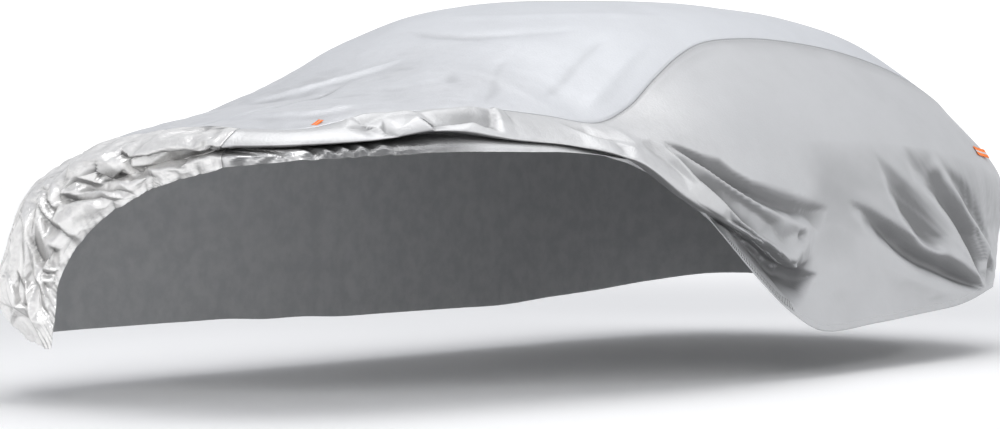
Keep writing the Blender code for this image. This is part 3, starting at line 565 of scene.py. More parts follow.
def ease(share):
    share = np.clip(share, 0, 1)
    return share * share * (3 - 2 * share)


def waves(points, size, seed, stretch=(1, 1, 1)):
    """Smooth noise from about -1 to 1 at each point, its waves about size metres long."""
    shift = Vector((seed * 7.3, seed * 3.1, seed * 5.7))
    flat = (points / (size * np.array(stretch))).reshape(-1, 3)
    return np.array([noise.noise(Vector(p) + shift) for p in flat]).reshape(points.shape[:-1])


def crumple(points, size, seed, stretch=(1, 1, 1)):
    """Noise folded at its middle, which gives keen ridges between round hollows: from about -1 to 1."""
    return 1 - 3.6 * np.abs(waves(points, size, seed, stretch))


def facets(points, size, seed, folds=7):
    """Flat facets that meet in straight keen creases, as crushed foil has them: from about -1 to 1."""
    chance = np.random.default_rng(seed)
    bent = points + 0.25 * size * np.stack([waves(points, 1.6 * size, seed + k) for k in range(3)], axis=-1)
    heights = np.zeros(points.shape[:-1])
    for _ in range(folds):
        way = chance.normal(size=3)
        way /= np.linalg.norm(way)
        place = bent @ way / (size * chance.uniform(0.7, 1.5)) + chance.uniform()
        heights += np.abs(place % 1 - 0.5) * 4 - 1
    return heights / folds**0.5


def smoothed(points, cells):
    """The net with each point at the mean of its neighbours within so many cells, twice over."""
    for axis in (0, 1, 0, 1):
        pad = [(0, 0)] * 3
        pad[axis] = (cells + 1, cells)
        sums = np.cumsum(np.pad(points, pad, mode="edge"), axis=axis)
        high = np.take(sums, range(2 * cells + 1, sums.shape[axis]), axis=axis)
        low = np.take(sums, range(0, sums.shape[axis] - 2 * cells - 1), axis=axis)
        points = (high - low) / (2 * cells + 1)
    return points


def hollows(points, normals, cells=6, deep=0.016):
    """How deep each point lies below the cloth round it: 1 at the bottom of a crease, 0 on a ridge."""
    return np.clip(((smoothed(points, cells) - points) * normals).sum(axis=2) / deep, 0, 1)


def leaning(points, normals, toward, cells=20):
    """How far each point's cloth leans away from a direction, compared with the cloth round it: 0 to 1."""
    fresh = outward(points, (0, 0, 0))
    fresh *= np.sign((fresh * normals).sum())
    away = (smoothed(normals, cells) - fresh) @ np.array(toward)
    return np.clip(away, 0, 1)


def gathers(run, off, size, reach, seed):
    """The small pleats that an elastic draws the cloth into: run along the edge and off it, in metres."""
    flat = np.stack([run, off * 0.25, off * 0], axis=-1)
    return (0.5 + crumple(flat, size, seed)) * (1 - ease(off / reach))


# %% [markdown]
# ## Facets between the lines
# The lines of a table are joined into triangles that keep every line as an edge (a constrained Delaunay
# triangulation, which Blender has in mathutils). Points of height 0 are strewn where no line is near, so
# that the cloth there stays as it is. Each point of the net then takes its height from its triangle.


# %% Facets
STREWN = 0.05  # spacing of the points of height 0, and how far they keep from a line
MARGIN = 3 * STREWN  # how far past the lines they are strewn
ON_A_LINE = 0.0005  # a spot that is nearer than this lies on the line
TINY = 1e-12  # keeps a division from meeting 0


def stretches_by(spot, lines):
    """How far the spot lies from each stretch of the lines, and the height that the stretch has there."""
    for line in lines:
        for (a, b, low), (c, d, high) in zip(line, line[1:]):
            run = Vector((c - a, d - b))
            off = spot - Vector((a, b))
            share = min(max(off @ run / max(run @ run, TINY), 0), 1)
            yield (off - run * share).length, low + (high - low) * share


def crossing_height(spot, lines):
    """The height where lines cross: the mean of theirs at the spot."""
    found = [height for apart, height in stretches_by(spot, lines) if apart < ON_A_LINE]
    return sum(found) / max(len(found), 1)


def facet_corners(lines):
    """The triangles between the lines, as arrays of three points with their heights in metres."""
    spots, edges = {}, []
    for line in lines:
        keys = [(a, b) for a, b, _ in line]
        for a, b, high in line:
            spots.setdefault((a, b), high)
        order = list(spots)
        edges += [(order.index(one), order.index(other)) for one, other in zip(keys, keys[1:])]
    low = [min(key[axis] for key in spots) - MARGIN for axis in (0, 1)]
    high = [max(key[axis] for key in spots) + MARGIN for axis in (0, 1)]
    for row in range(int((high[0] - low[0]) / STREWN) + 1):
        for column in range(int((high[1] - low[1]) / STREWN) + 1):
            spot = Vector((low[0] + row * STREWN, low[1] + column * STREWN))
            if all(apart >= STREWN for apart, _ in stretches_by(spot, lines)):
                spots[tuple(spot)] = 0.0
    heights = list(spots.values())
    placed, _, faces, origins, _, _ = delaunay_2d_cdt([Vector(key) for key in spots], edges, [], 0, 1e-5)
    tall = [
        heights[origin[0]] if origin else crossing_height(spot, lines)
        for spot, origin in zip(placed, origins)
    ]
    return np.array([[(*placed[corner], tall[corner] / 1000) for corner in face] for face in faces])


def folded(across, up, lines):
    """The height in metres of each point of a net, read from the facets between the lines."""
    heights = np.zeros(across.shape)
    for first, second, third in facet_corners(lines):
        inside = np.ones(across.shape, bool)
        for axis, values in ((0, across), (1, up)):
            ends = first[axis], second[axis], third[axis]
            inside &= (values >= min(ends)) & (values <= max(ends))
        if not inside.any():
            continue
        one, two = second[:2] - first[:2], third[:2] - first[:2]
        off = across[inside] - first[0], up[inside] - first[1]
        size = one[0] * two[1] - one[1] * two[0]
        if abs(size) < TINY:
            continue
        share_two = (off[0] * two[1] - off[1] * two[0]) / size
        share_three = (one[0] * off[1] - one[1] * off[0]) / size
        within = (share_two >= -1e-6) & (share_three >= -1e-6) & (share_two + share_three <= 1 + 1e-6)
        high = first[2] + share_two * (second[2] - first[2]) + share_three * (third[2] - first[2])
        heights[inside] = np.where(within, high, heights[inside])
    return heights


# %% [markdown]
# ## Pressing the creases in
# A crease's line is first laid on the cloth: of the points of the net that lie nearest to it, seen from
# above, the highest one is taken. Then every point of the net finds the nearest place on the line and
# moves outwards, by an amount that falls off with the distance. A little noise in the distance keeps the
# creases from looking ruled.


# %% Creases
LAID_STEPS = 4  # straight steps between two points of a crease's line
LAID_WITHIN = 0.012  # how much farther off than the nearest point the highest one may lie


def lay(path, points):
    """The points of the net under a line given on the top view, the highest where layers lie there."""
    flat = points.reshape(-1, 3)
    laid = []
    for x, y in path:
        apart = np.hypot(flat[:, 0] - x, flat[:, 1] - y)
        close = np.flatnonzero(apart < apart.min() + LAID_WITHIN)
        laid.append(Vector(flat[close[np.argmax(flat[close, 2])]]))
    return laid


def creased(points, normals, creases):
    """The height in metres that the creases give each point of the net."""
    heights = np.zeros(points.shape[:2])
    ragged = 1 + 0.3 * waves(points, 0.11, 3)
    for crease in creases:
        laid = lay(crease.path, points)
        spans = LAID_STEPS * (len(laid) - 1)
        path = np.array([through(laid, k / LAID_STEPS) for k in range(spans + 1)])
        reach = 3 * max(crease.left, crease.right) / 1000
        inside = ((points > path.min(axis=0) - reach) & (points < path.max(axis=0) + reach)).all(axis=2)
        if not inside.any():
            continue
        here, out = points[inside], normals[inside]
        nearest = np.full(len(here), np.inf)
        side, place = np.zeros(len(here)), np.zeros(len(here))
        for k in range(spans):
            run, off = path[k + 1] - path[k], here - path[k]
            share = np.clip(off @ run / max(run @ run, TINY), 0, 1)
            off = off - share[:, None] * run
            distance = np.linalg.norm(off, axis=1)
            closer = distance < nearest
            nearest[closer], place[closer] = distance[closer], (k + share[closer]) / spans
            side[closer] = (np.cross(run, off) * out).sum(axis=1)[closer]
        ends = ease(place / crease.start) * ease((1 - place) / crease.stop)
        width = np.where(side > 0, crease.left, crease.right) / 1000 * (0.3 + 0.7 * ends)
        falls = np.exp(-((nearest * ragged[inside] / width) ** crease.sharp))
        heights[inside] += crease.height / 1000 * falls * ends
    return heights


# %% [markdown]
# ## From a net to a sheet
# bmesh.ops.create_grid makes the flat net, and its points are then moved to their places. The
# UV map holds real lengths in metres, along and across the panel, so that a stitch line can be drawn
# at a real distance from a seam. Solidify gives the sheet its thickness and the uncoated inner side.

# %% Sheets
SHEET = 0.0018  # thickness of the coated cloth with its lining


def grid_mesh(name, points, uv, marks):
    """A mesh over the net, with its UV map in metres and the marks as attributes of its points."""
    rows, columns = points.shape[:2]
    flat = bmesh.new()
    bmesh.ops.create_grid(flat, x_segments=rows - 1, y_segments=columns - 1, size=1)
    mesh = bpy.data.meshes.new(name)
    flat.to_mesh(mesh)
    flat.free()
    order = points.transpose(1, 0, 2).reshape(-1, 3) - np.array(ROOF)
    mesh.vertices.foreach_set("co", order.astype(np.float32).ravel())
    corners = np.empty(len(mesh.loops), dtype=np.int32)
    mesh.loops.foreach_get("vertex_index", corners)
    layer = mesh.uv_layers.new(name="metres")
    placed = np.stack(uv, axis=-1).transpose(1, 0, 2).reshape(-1, 2)[corners]
    layer.data.foreach_set("uv", placed.astype(np.float32).ravel())
    for mark, values in marks.items():
        attribute = mesh.attributes.new(mark, "FLOAT", "POINT")
        attribute.data.foreach_set("value", values.T.astype(np.float32).ravel())
    mesh.update()
    return mesh


def face_out(mesh, middle):
    """Turns the faces over if they look towards the middle on the whole."""
    shape = bmesh.new()
    shape.from_mesh(mesh)
    shape.normal_update()
    away = sum((face.calc_center_median() - middle).dot(face.normal) for face in shape.faces)
    if away < 0:
        bmesh.ops.reverse_faces(shape, faces=shape.faces)
    shape.to_mesh(mesh)
    shape.free()


def sheet_piece(name, mesh, middle, materials, node, thickness=SHEET):
    """The finished sheet: its thickness, its materials, and the solid that it stands for."""
    face_out(mesh, Vector(middle) - ROOF)
    mesh.shade_smooth()
    for material in materials:
        mesh.materials.append(material)
    piece = bpy.data.objects.new(name, mesh)
    bpy.context.scene.collection.objects.link(piece)
    wall = piece.modifiers.new("thickness", "SOLIDIFY")
    wall.thickness = thickness
    wall.offset = 0
    wall.use_even_offset = False
    wall.material_offset = len(materials) - 1
    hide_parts(node)
    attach(piece, "root")
    print(name, len(mesh.polygons) * 4, "triangles")
    return piece


# %% [markdown]
# ## Letting the cloth buckle
# The bunched cloth has far more length than the place that it lies in, so it buckles into facets with
# keen ridges between them. That is what Blender's cloth simulation does by itself: the front's net is made
# a little longer than it is, its seams are held, and a weak pull keeps the rest near its place.


# %% Buckling
def buckled(points, hold, slack, spare, frames, bending=2.0):
    """The net once its cloth, longer by the share spare where slack is 1, has settled where hold lets it."""
    mesh = grid_mesh("settling", points, (points[..., 0], points[..., 1]), {})
    piece = bpy.data.objects.new("settling", mesh)
    bpy.context.scene.collection.objects.link(piece)
    for name, weights in (("hold", hold), ("tight", 1 - slack)):
        group = piece.vertex_groups.new(name=name)
        for index, weight in enumerate(weights.T.ravel()):
            group.add([index], float(weight), "REPLACE")
    cloth = piece.modifiers.new("cloth", "CLOTH")
    settings = cloth.settings
    settings.quality = 6
    settings.mass = 0.15
    settings.tension_stiffness = 40
    settings.compression_stiffness = 40
    settings.shear_stiffness = 20
    settings.bending_stiffness = bending
    settings.vertex_group_mass = "hold"
    settings.pin_stiffness = 1.0
    settings.vertex_group_shrink = "tight"
    settings.shrink_min = -spare
    settings.shrink_max = 0.0
    settings.effector_weights.gravity = 0.0
    cloth.collision_settings.use_collision = False
    for frame_number in range(1, frames + 1):
        bpy.context.scene.frame_set(frame_number)
    shape = piece.evaluated_get(bpy.context.evaluated_depsgraph_get()).data
    moved = np.empty(len(shape.vertices) * 3, dtype=np.float32)
    shape.vertices.foreach_get("co", moved)
    bpy.data.objects.remove(piece)
    bpy.data.meshes.remove(mesh)
    bpy.context.scene.frame_set(1)
    rows, columns = points.shape[:2]
    settled = moved.reshape(columns, rows, 3).transpose(1, 0, 2) + np.array(ROOF)
    print("settled", rows * columns, "points; moved at most", np.abs(settled - points).max().round(3), "m")
    return settled


def finer(points, factor, axis):
    """Reads factor times as many points along an axis of the net, on smooth curves through the old ones."""
    count = points.shape[axis]
    weights = np.zeros(((count - 1) * factor + 1, count))
    for row in range(len(weights)):
        span = min(row // factor, count - 2)
        share = row / factor - span
        square, cube = share**2, share**3
        curve = (
            (-cube + 2 * square - share) / 2, (3 * cube - 5 * square + 2) / 2,
            (-3 * cube + 4 * square + share) / 2, (cube - square) / 2,
        )
        for step, weight in enumerate(curve):
            weights[row, min(max(span + step - 1, 0), count - 1)] += weight
    return np.moveaxis(np.tensordot(weights, points, axes=(1, axis)), 0, axis)


# %% [markdown]
# ## Shader maths in Python
# A shader is easier to read as a formula than as a tangle of nodes. Value wraps the output of a node, and
# its operators add Math nodes, so that 1 - mask * 0.5 can be written as it stands.


# %% Shader maths
class Value:
    """The output of a node, with Python's operators for Math nodes."""

    def __init__(self, tree, socket):
        self.tree = tree
        self.socket = socket

    def node(self, kind, settings=None, output=0, **inputs):
        """Adds a node: its settings first, then the values or links of its sockets, by name or _number."""
        made = self.tree.nodes.new(kind)
        for key, value in (settings or {}).items():
            if key == "stops":
                fill_ramp(made.color_ramp, value)
            else:
                setattr(made, key, value)
        for key, value in inputs.items():
            socket = made.inputs[int(key[1:]) if key.startswith("_") else key.replace("_", " ")]
            if isinstance(value, Value):
                self.tree.links.new(value.socket, socket)
            else:
                socket.default_value = value
        return Value(self.tree, made.outputs[output])

    def maths(self, operation, *others, first=True):
        values = [self, *others] if first else [*others, self]
        sockets = {f"_{number}": value for number, value in enumerate(values)}
        return self.node("ShaderNodeMath", {"operation": operation}, **sockets)

    def __add__(self, other):
        return self.maths("ADD", other)

    def __mul__(self, other):
        return self.maths("MULTIPLY", other)

    def __sub__(self, other):
        return self.maths("SUBTRACT", other)

    def __truediv__(self, other):
        return self.maths("DIVIDE", other)

    def __rsub__(self, other):
        return self.maths("SUBTRACT", other, first=False)

    def __lt__(self, other):
        return self.maths("LESS_THAN", other)

    def __gt__(self, other):
        return self.maths("GREATER_THAN", other)

    def __abs__(self):
        return self.maths("ABSOLUTE")

    def __mod__(self, other):
        return self.maths("FLOORED_MODULO", other)

    __radd__ = __add__
    __rmul__ = __mul__

    def clamped(self):
        made = self.maths("ADD", 0.0)
        made.socket.node.use_clamp = True
        return made

    def scaled(self, low, high, start=0.0, end=1.0):
        """Maps low..high to start..end along a smooth step."""
        return self.node(
            "ShaderNodeMapRange",
            {"interpolation_type": "SMOOTHSTEP"},
            Value=self, From_Min=low, From_Max=high, To_Min=start, To_Max=end,
        )


def fill_ramp(ramp, stops):
    while len(ramp.elements) < len(stops):
        ramp.elements.new(1.0)
    for element, (place, colour) in zip(ramp.elements, stops):
        element.position = place
        element.color = (*colour, 1)


def blend(share, first, second):
    """A mix of two colours, each a link or three numbers."""
    ends = [end if isinstance(end, Value) else (*end, 1) for end in (first, second)]
    return share.node(
        "ShaderNodeMix", {"data_type": "RGBA"}, output=2, _0=share, _6=ends[0], _7=ends[1]
    )


def new_material(name):
    """A material, its Principled shader, and a Value to start formulas from."""
    material = bpy.data.materials.new(name)
    material.use_nodes = True
    tree = material.node_tree
    shader = tree.nodes["Principled BSDF"]
    place = Value(tree, tree.nodes.new("ShaderNodeTexCoord").outputs["Object"])
    return material, shader, place


def join(shader, **links):
    for name, value in links.items():
        socket = shader.inputs[name.replace("_", " ")]
        if isinstance(value, Value):
            value.tree.links.new(value.socket, socket)
        else:
            socket.default_value = value


def shaded(colour, share):
    """A colour at a share of its brightness."""
    return [level * share for level in colour]


def raised(place, height):
    """The Normal of a surface that is raised by a height in metres."""
    return place.node("ShaderNodeBump", Strength=1.0, Distance=1.0, Height=height)


def ridges(run, pitch):
    """Straight ridges across a length, so many metres apart: from 0 between them to 1 on their tops."""
    return abs((run / pitch) % 1.0 - 0.5) * 2


# %% [markdown]
# ## The coated cloth
# The cloth is a felt with a thin film of aluminium on it. Seen close, the film has short fibres pressed
# into it and a net of fine crinkles. It looks like satin where it lies flat, and where it has been
# crushed the film is polished and mirrors the room. The mark "foil" says how crushed it is at each place.

# %% Coated cloth
FIBRES = 900.0  # fibres for each metre
CRINKLES = 55.0  # fine crinkles for each metre
STITCH, STITCH_GAP = 0.0045, 0.35  # length of a stitch and the share of it that is gap
SEAM_ALLOWANCE, HEM_WIDTH = 0.007, 0.024  # from the seam and from the hem's edge to their stitches
THREAD = 0.0012  # thickness of the thread
HOLLOW_SHADE = 0.28  # the share of its colour that the cloth keeps where shade is painted in, in creases and on facets turned from the light


def stitches(line, run):
    """A dashed line where line is near 0: 1 on the thread."""
    dashes = (run / STITCH) % 1.0
    return (abs(line) < THREAD / 2) * (dashes > STITCH_GAP)


def coated_cloth(name, satin, foil, polish=0.24, mirror=0.66):
    """The aluminium-coated cloth. satin and foil are its colours where it is flat and where it is crushed."""
    material, shader, place = new_material(name)
    crushed, seam, hem, hollow = (
        place.node("ShaderNodeAttribute", {"attribute_name": mark}, output=2)
        for mark in ("foil", "seam", "hem", "hollow")
    )
    metres = place.node("ShaderNodeUVMap", {"uv_map": "metres"})
    run = metres.node("ShaderNodeSeparateXYZ", _0=metres)
    cloudy = place.node("ShaderNodeTexNoise", Vector=place, Scale=3.5, Detail=4.0, Roughness=0.6)
    mottled = place.node("ShaderNodeTexNoise", Vector=place, Scale=38.0, Detail=6.0, Roughness=0.65)
    fibres = place.node("ShaderNodeTexNoise", Vector=place, Scale=FIBRES / 3, Detail=3.0, Roughness=0.7)
    bent = place.node(
        "ShaderNodeTexNoise", {"noise_dimensions": "3D"}, output=1, Vector=place, Scale=9.0, Detail=2.0
    )
    warped = place.node(
        "ShaderNodeVectorMath", {"operation": "MULTIPLY_ADD"}, _0=bent, _1=(0.10, 0.10, 0.10), _2=place
    )
    cells = place.node(
        "ShaderNodeTexVoronoi", {"feature": "DISTANCE_TO_EDGE"}, Vector=warped, Scale=CRINKLES, Randomness=1.0
    )
    small = place.node(
        "ShaderNodeTexVoronoi", {"feature": "F1"}, Vector=warped, Scale=CRINKLES * 2.3, Randomness=1.0
    )
    crinkle = cells.scaled(0.0, 0.25)
    hem_line = stitches(hem - HEM_WIDTH, run)
    seam_line = stitches(seam - SEAM_ALLOWANCE, run)
    thread = (hem_line + seam_line).clamped()
    seam_dark = 1 - seam.scaled(0.0, 0.0035)
    grime = cloudy.scaled(0.35, 0.75)
    flat_colour = blend(grime * 0.5 + mottled * 0.35, satin, shaded(satin, 0.90))
    bright = blend(mottled.scaled(0.35, 0.65), foil, shaded(foil, 0.93))
    colour = blend(crushed, flat_colour, bright)
    # Painted shade: the colour is drawn towards a dark grey in creases and on facets that lean away from the
    # light, as far as the shade attribute read above says.
    colour = blend(hollow * 0.85, colour, shaded(satin, HOLLOW_SHADE))
    colour = blend(seam_dark * 0.75, colour, shaded(satin, 0.35))
    colour = blend(thread * 0.6, colour, (0.75, 0.76, 0.78))
    height = fibres * 0.00006 + mottled * 0.0002
    height = height + crinkle * (0.0002 + crushed * 0.0003) + small * (crushed * 0.00015)
    height = height + thread * 0.0004 - (1 - abs(hem - HEM_WIDTH).scaled(0.0, 0.003)) * 0.0006
    join(
        shader,
        Base_Color=colour,
        Roughness=(0.50 - crushed * polish + fibres * 0.06).clamped(),
        Metallic=(0.22 + crushed * mirror).clamped(),
        Normal=raised(place, height),
    )
    return material


def inner_side(name):
    """The uncoated inner side: matt felt with short fibres."""
    material, shader, place = new_material(name)
    fibres = place.node("ShaderNodeTexNoise", Vector=place, Scale=420.0, Detail=4.0, Roughness=0.7)
    patches = place.node("ShaderNodeTexNoise", Vector=place, Scale=14.0, Detail=5.0, Roughness=0.6)
    colour = blend(patches.scaled(0.3, 0.7), (0.40, 0.405, 0.415), (0.47, 0.475, 0.48))
    join(shader, Base_Color=colour, Roughness=0.88, Normal=raised(place, fibres * 0.0003))
    return material


TOP_CLOTH = coated_cloth("coated cloth of the top", (0.56, 0.573, 0.596), (0.80, 0.80, 0.81))
SIDE_CLOTH = coated_cloth("coated cloth of the sides", (0.50, 0.505, 0.515), (0.82, 0.815, 0.805))
FRONT_CLOTH = coated_cloth("coated cloth of the front", (0.70, 0.70, 0.70), (0.93, 0.92, 0.905), 0.18, 0.36)
LINING = inner_side("inner side")
print("cloth materials made")

# %% [markdown]
# ## The top panel
# The top panel is one long piece, and runs down the tail as a strip between the sides. It is pulled tight
# between the roof and the tail, and lies in shallow folds on the hood, where it was pulled towards the
# raised corner. The same curves as for its solid are used, with seven to ten times the points each way.

# %% Top panel
LAST = len(STATIONS) - 1
MIDDLE = (1.4, 0.0, 0.4)  # a point inside the cover, which every panel but the front faces away from
HOOD_END, HOOD_FADE = 5.5, 2.5  # the station at which the hood's folds have half faded, and half the fade
TOP_QUIET, SIDE_QUIET, FRONT_QUIET = 0.05, 0.04, 0.03  # how far from a seam a fold has its full height


def spread(cells, end=1.0, start=0.0):
    return [start + (end - start) * k / cells for k in range(cells + 1)]


def stations(ats, points):
    """The station of each point of a net."""
    return np.array(ats)[:, None] * np.ones((1, points.shape[1]))


def nearest_edge(*distances):
    """The least of the distances at each point of a net."""
    return np.minimum.reduce(distances)


def top_place(at, across):
    return top_point(top_row(at), across) if at <= LAST else tail_point(at - LAST, across)


top_ats = spread(380, LAST) + spread(48, LAST + 1, LAST)[1:]
top_net = net(top_ats, spread(104, 1, -1), top_place)
top_out = outward(top_net, MIDDLE)
along_top, across_top = lengths(top_net, 0), lengths(top_net, 1)
seam_top = nearest_edge(across_top, across_top[:, -1:] - across_top, along_top)
station_top = stations(top_ats, top_net)
hood = 1 - ease((station_top - HOOD_END + HOOD_FADE) / (2 * HOOD_FADE))
# In the sums of heights, a noise's factor is in metres, and its brackets hold its size and its seed.
heights = creased(top_net, top_out, HOOD_FOLDS)
heights += 0.0045 * crumple(top_net, 0.30, 11) * hood + 0.0022 * waves(top_net, 0.35, 12)
heights += 0.0014 * crumple(top_net, 0.09, 13) * hood + 0.0005 * waves(top_net, 0.06, 14)
heights *= ease(seam_top / TOP_QUIET)
heights += 0.0009 * waves(top_net, 0.02, 15) * (1 - ease(seam_top / 0.06)) * ease(seam_top / 0.006)
top_net += top_out * heights[..., None]
hem_top = np.where(station_top >= LAST, along_top[-1:, :] - along_top, 1.0)
foil_top = 0.30 * hood + 0.25 * ease(waves(top_net, 0.25, 16) * 1.2) * hood
# Painted shade: the cloth is coloured darker in its creases, the deeper they lie.
top_mesh = grid_mesh(
    "top_cloth", top_net, (along_top, across_top),
    {"foil": foil_top, "seam": seam_top, "hem": hem_top, "hollow": hollows(top_net, top_out)},
)
top_cloth = sheet_piece("top_cloth", top_mesh, MIDDLE, [TOP_CLOTH, LINING], "top_panel")

# %% [markdown]
# ## The near side
# The near side hangs free and was pulled up at the front: its edge is rolled under and lies in a crumpled
# band, and long pleats run back from there to where the hem drops. The folds of the tail meet in one
# point, low down near the hem. What draws them together there can't be seen, so nothing is built for it.

# %% Near side
NEAR_STRETCHES = (12, 40, 18, 12, 14)  # rows of cells down to the waist, lip, tuck, band and hem
KNOT = (3.08, 0.29)  # where the folds of the tail meet, on the side view


def rounded(heights, share):
    """Heights drawn towards the mean of their neighbours, by a share from 0 to 1."""
    return heights + (smoothed(heights[..., None], 1)[..., 0] - heights) * share


near_ats = spread(160, 6.5) + spread(190, 11.3, 6.5)[1:]
near_ats += spread(30, 12.6, 11.3)[1:] + spread(110, LAST, 12.6)[1:]
near_shares = [0.0]
for stretch, cells in enumerate(NEAR_STRETCHES):
    near_shares += [(stretch + (k + 1) / cells) / len(NEAR_STRETCHES) for k in range(cells)]
near_net = net(near_ats, near_shares, lambda at, share: through(near_line(at), share * len(NEAR_STRETCHES)))
near_out = outward(near_net, MIDDLE)
along_near, down_near = lengths(near_net, 0), lengths(near_net, 1)
hem_near = down_near[:, -1:] - down_near
seam_near = nearest_edge(down_near, along_near, along_near[-1:, :] - along_near)
station_near = stations(near_ats, near_net)
stretch_near = np.array(near_shares)[None, :] * len(NEAR_STRETCHES) * np.ones((near_net.shape[0], 1))
low_band = ease((stretch_near - 2.0) / 0.6)
bunched = 1 - ease((station_near - 2.0) / 1.6)
x_near, z_near = near_net[..., 0], near_net[..., 2]
from_knot = np.hypot(x_near - KNOT[0], z_near - KNOT[1])
turn_near = np.arctan2(z_near - KNOT[1], KNOT[0] - x_near)
rays = waves(np.stack([turn_near * 1.1, from_knot * 0.10, 0 * turn_near], axis=-1), 0.035, 29)
pulled = ease((0.95 - from_knot) / 0.5) * ease(from_knot / 0.15) * ease((turn_near + 0.1) / 0.3)
turned = low_band * (1 - ease((station_near - 5.0) / 2.0))
pleats = folded(x_near, z_near, NEAR_FOLDS) * (1 - turned) * (1.15 + 0.10 * waves(near_net, 0.10, 23))
pleats += folded(x_near, z_near, HEM_FOLDS) * turned + 0.005 * rays * pulled
softer = ease((x_near - 2.2) / 0.2)  # 1 on the tail, whose folds have rounder edges
pleats = rounded(pleats, 0.5 * ease(station_near - 5.5) + 0.5 * softer)
pleats = rounded(pleats, softer * ease((from_knot - 0.15) / 0.3))
broad_out = smoothed(near_out, 20)
broad_out /= np.linalg.norm(broad_out, axis=2, keepdims=True)
pleats *= ease(seam_near / SIDE_QUIET)
near_net += broad_out * pleats[..., None]
heights = bunched * low_band * 0.0008 * facets(near_net * np.array((1.5, 1, 1)), 0.07, 22, 3)
heights += bunched * (1 - low_band) * ease(stretch_near - 0.3) * 0.002 * facets(near_net, 0.25, 26, 3)
heights += gathers(along_near, hem_near, 0.018, 0.035, 27) * 0.002 * (bunched * 0.8 + 0.2)
heights += 0.003 * waves(near_net, 0.28, 24) + 0.0006 * waves(near_net, 0.07, 25)
heights *= ease(seam_near / SIDE_QUIET)
# Painted shadow: the band under the gap is coloured darker in uneven patches, where the lip above it shades
# it.
under = low_band * ease((station_near - 0.9) / 0.4) * (1 - ease((station_near - 2.9) / 0.8))
under *= np.clip(1.1 + 0.5 * waves(near_net, 0.08, 28), 0, 1)
# Painted shade in the valleys of the pleats: the deeper, the darker.
deep = np.clip(-pleats / 0.055, 0, 1) * (0.80 + 0.35 * rays)
near_net += broad_out * heights[..., None]
# Painted shade on facets that lean down, away from the light above, streaked along the tail's folds. On the
# band it also falls on facets that lean away from the light at the front.
leans = leaning(near_net, near_out, (0, 0, 1)) * (1.6 + 0.4 * softer + (0.4 + 0.8 * softer) * rays)
leans *= ease((seam_near - 0.02) / 0.03)
leans += turned * 2.2 * leaning(near_net, near_out, (-0.9, 0, 0.4))
painted_shade_near = np.clip(under + 0.6 * deep * ease((x_near - 0.5) / 0.3) + leans, 0, 1)
foil_near = 0.55 * low_band * (1 - ease((station_near - 2.2) / 1.2))
foil_near += 0.3 * (1 - ease((station_near - 7.0) / 2.0))
near_mesh = grid_mesh(
    "near_side_cloth", near_net, (along_near, down_near),
    {"foil": np.clip(foil_near, 0, 1), "seam": seam_near, "hem": hem_near,
     "hollow": np.maximum(painted_shade_near, hollows(near_net, near_out))},
)
near_cloth = sheet_piece(
    "near_side_cloth", near_mesh, MIDDLE, [SIDE_CLOTH, LINING], "near_side_panel"
)

# %% [markdown]
# ## The far side
# The far side can't be seen in the photo. It hangs as a fitted cover is meant to: in a plain sheet, which
# the elastic of the hem draws in at its foot.

# %% Far side
far_ats = spread(300, LAST)
far_net = net(far_ats, spread(70), lambda at, share: drop(*far_row(at), share))
far_out = outward(far_net, MIDDLE)
along_far, down_far = lengths(far_net, 0), lengths(far_net, 1)
hem_far = down_far[:, -1:] - down_far
seam_far = nearest_edge(down_far, along_far, along_far[-1:, :] - along_far)
heights = 0.003 * waves(far_net, 0.30, 32) + 0.0015 * crumple(far_net, 0.15, 33)
heights += 0.0035 * gathers(along_far, hem_far, 0.04, 0.09, 31)
heights *= ease(seam_far / SIDE_QUIET)
far_net += far_out * heights[..., None]
# Painted shade: the far side is coloured darker in its creases, the deeper they lie.
far_mesh = grid_mesh(
    "far_side_cloth", far_net, (along_far, down_far),
    {"foil": 0.1 + 0 * seam_far, "seam": seam_far, "hem": hem_far, "hollow": hollows(far_net, far_out)},
)
far_cloth = sheet_piece(
    "far_side_cloth", far_mesh, MIDDLE, [SIDE_CLOTH, LINING], "far_side_panel"
)

# %% [markdown]
# ## The front
# The front panel covers the nose. Half of it is dragged aside with the raised corner, so it hangs in keen
# crumples like kitchen foil, gathered along its edge by the elastic.

# %% Front
NOSE_MIDDLE = (-0.1, 0.2, 0.4)  # the point that the front faces away from
LAST_ACROSS = len(Nose._fields)
nose_ats = spread(100, TURNED) + spread(112, LAST_ACROSS, TURNED)[1:]
nose_net = net(nose_ats, spread(192), nose_point)
nose_out = outward(nose_net, NOSE_MIDDLE)
along_nose, down_nose = lengths(nose_net, 0), lengths(nose_net, 1)
edge_nose = np.minimum(along_nose, down_nose[:, -1:] - down_nose)
seam_nose = np.minimum(down_nose, along_nose[-1:, :] - along_nose)
heights = 1.05 * folded(down_nose, along_nose, NOSE_FOLDS)
heights += 0.005 * facets(nose_net, 0.22, 41, 3) + 0.0012 * facets(nose_net, 0.09, 42, 4)
near_edge = 1 - ease(along_nose / 0.09)
heights += near_edge * 0.003 * facets(nose_net, 0.045, 44, 3)
heights += 0.004 * gathers(down_nose, along_nose, 0.022, 0.06, 43)
heights *= ease(seam_nose / FRONT_QUIET)
nose_net += nose_out * heights[..., None]
coarse = nose_net[:, ::2]
firm = 0.20 + 0.80 * (1 - ease(seam_nose / 0.012))
slack = ease(seam_nose / 0.05)
settled = buckled(coarse, firm[:, ::2], slack[:, ::2], 0.02, 16, 4.0)
nose_net += finer(settled - coarse, 2, 1)
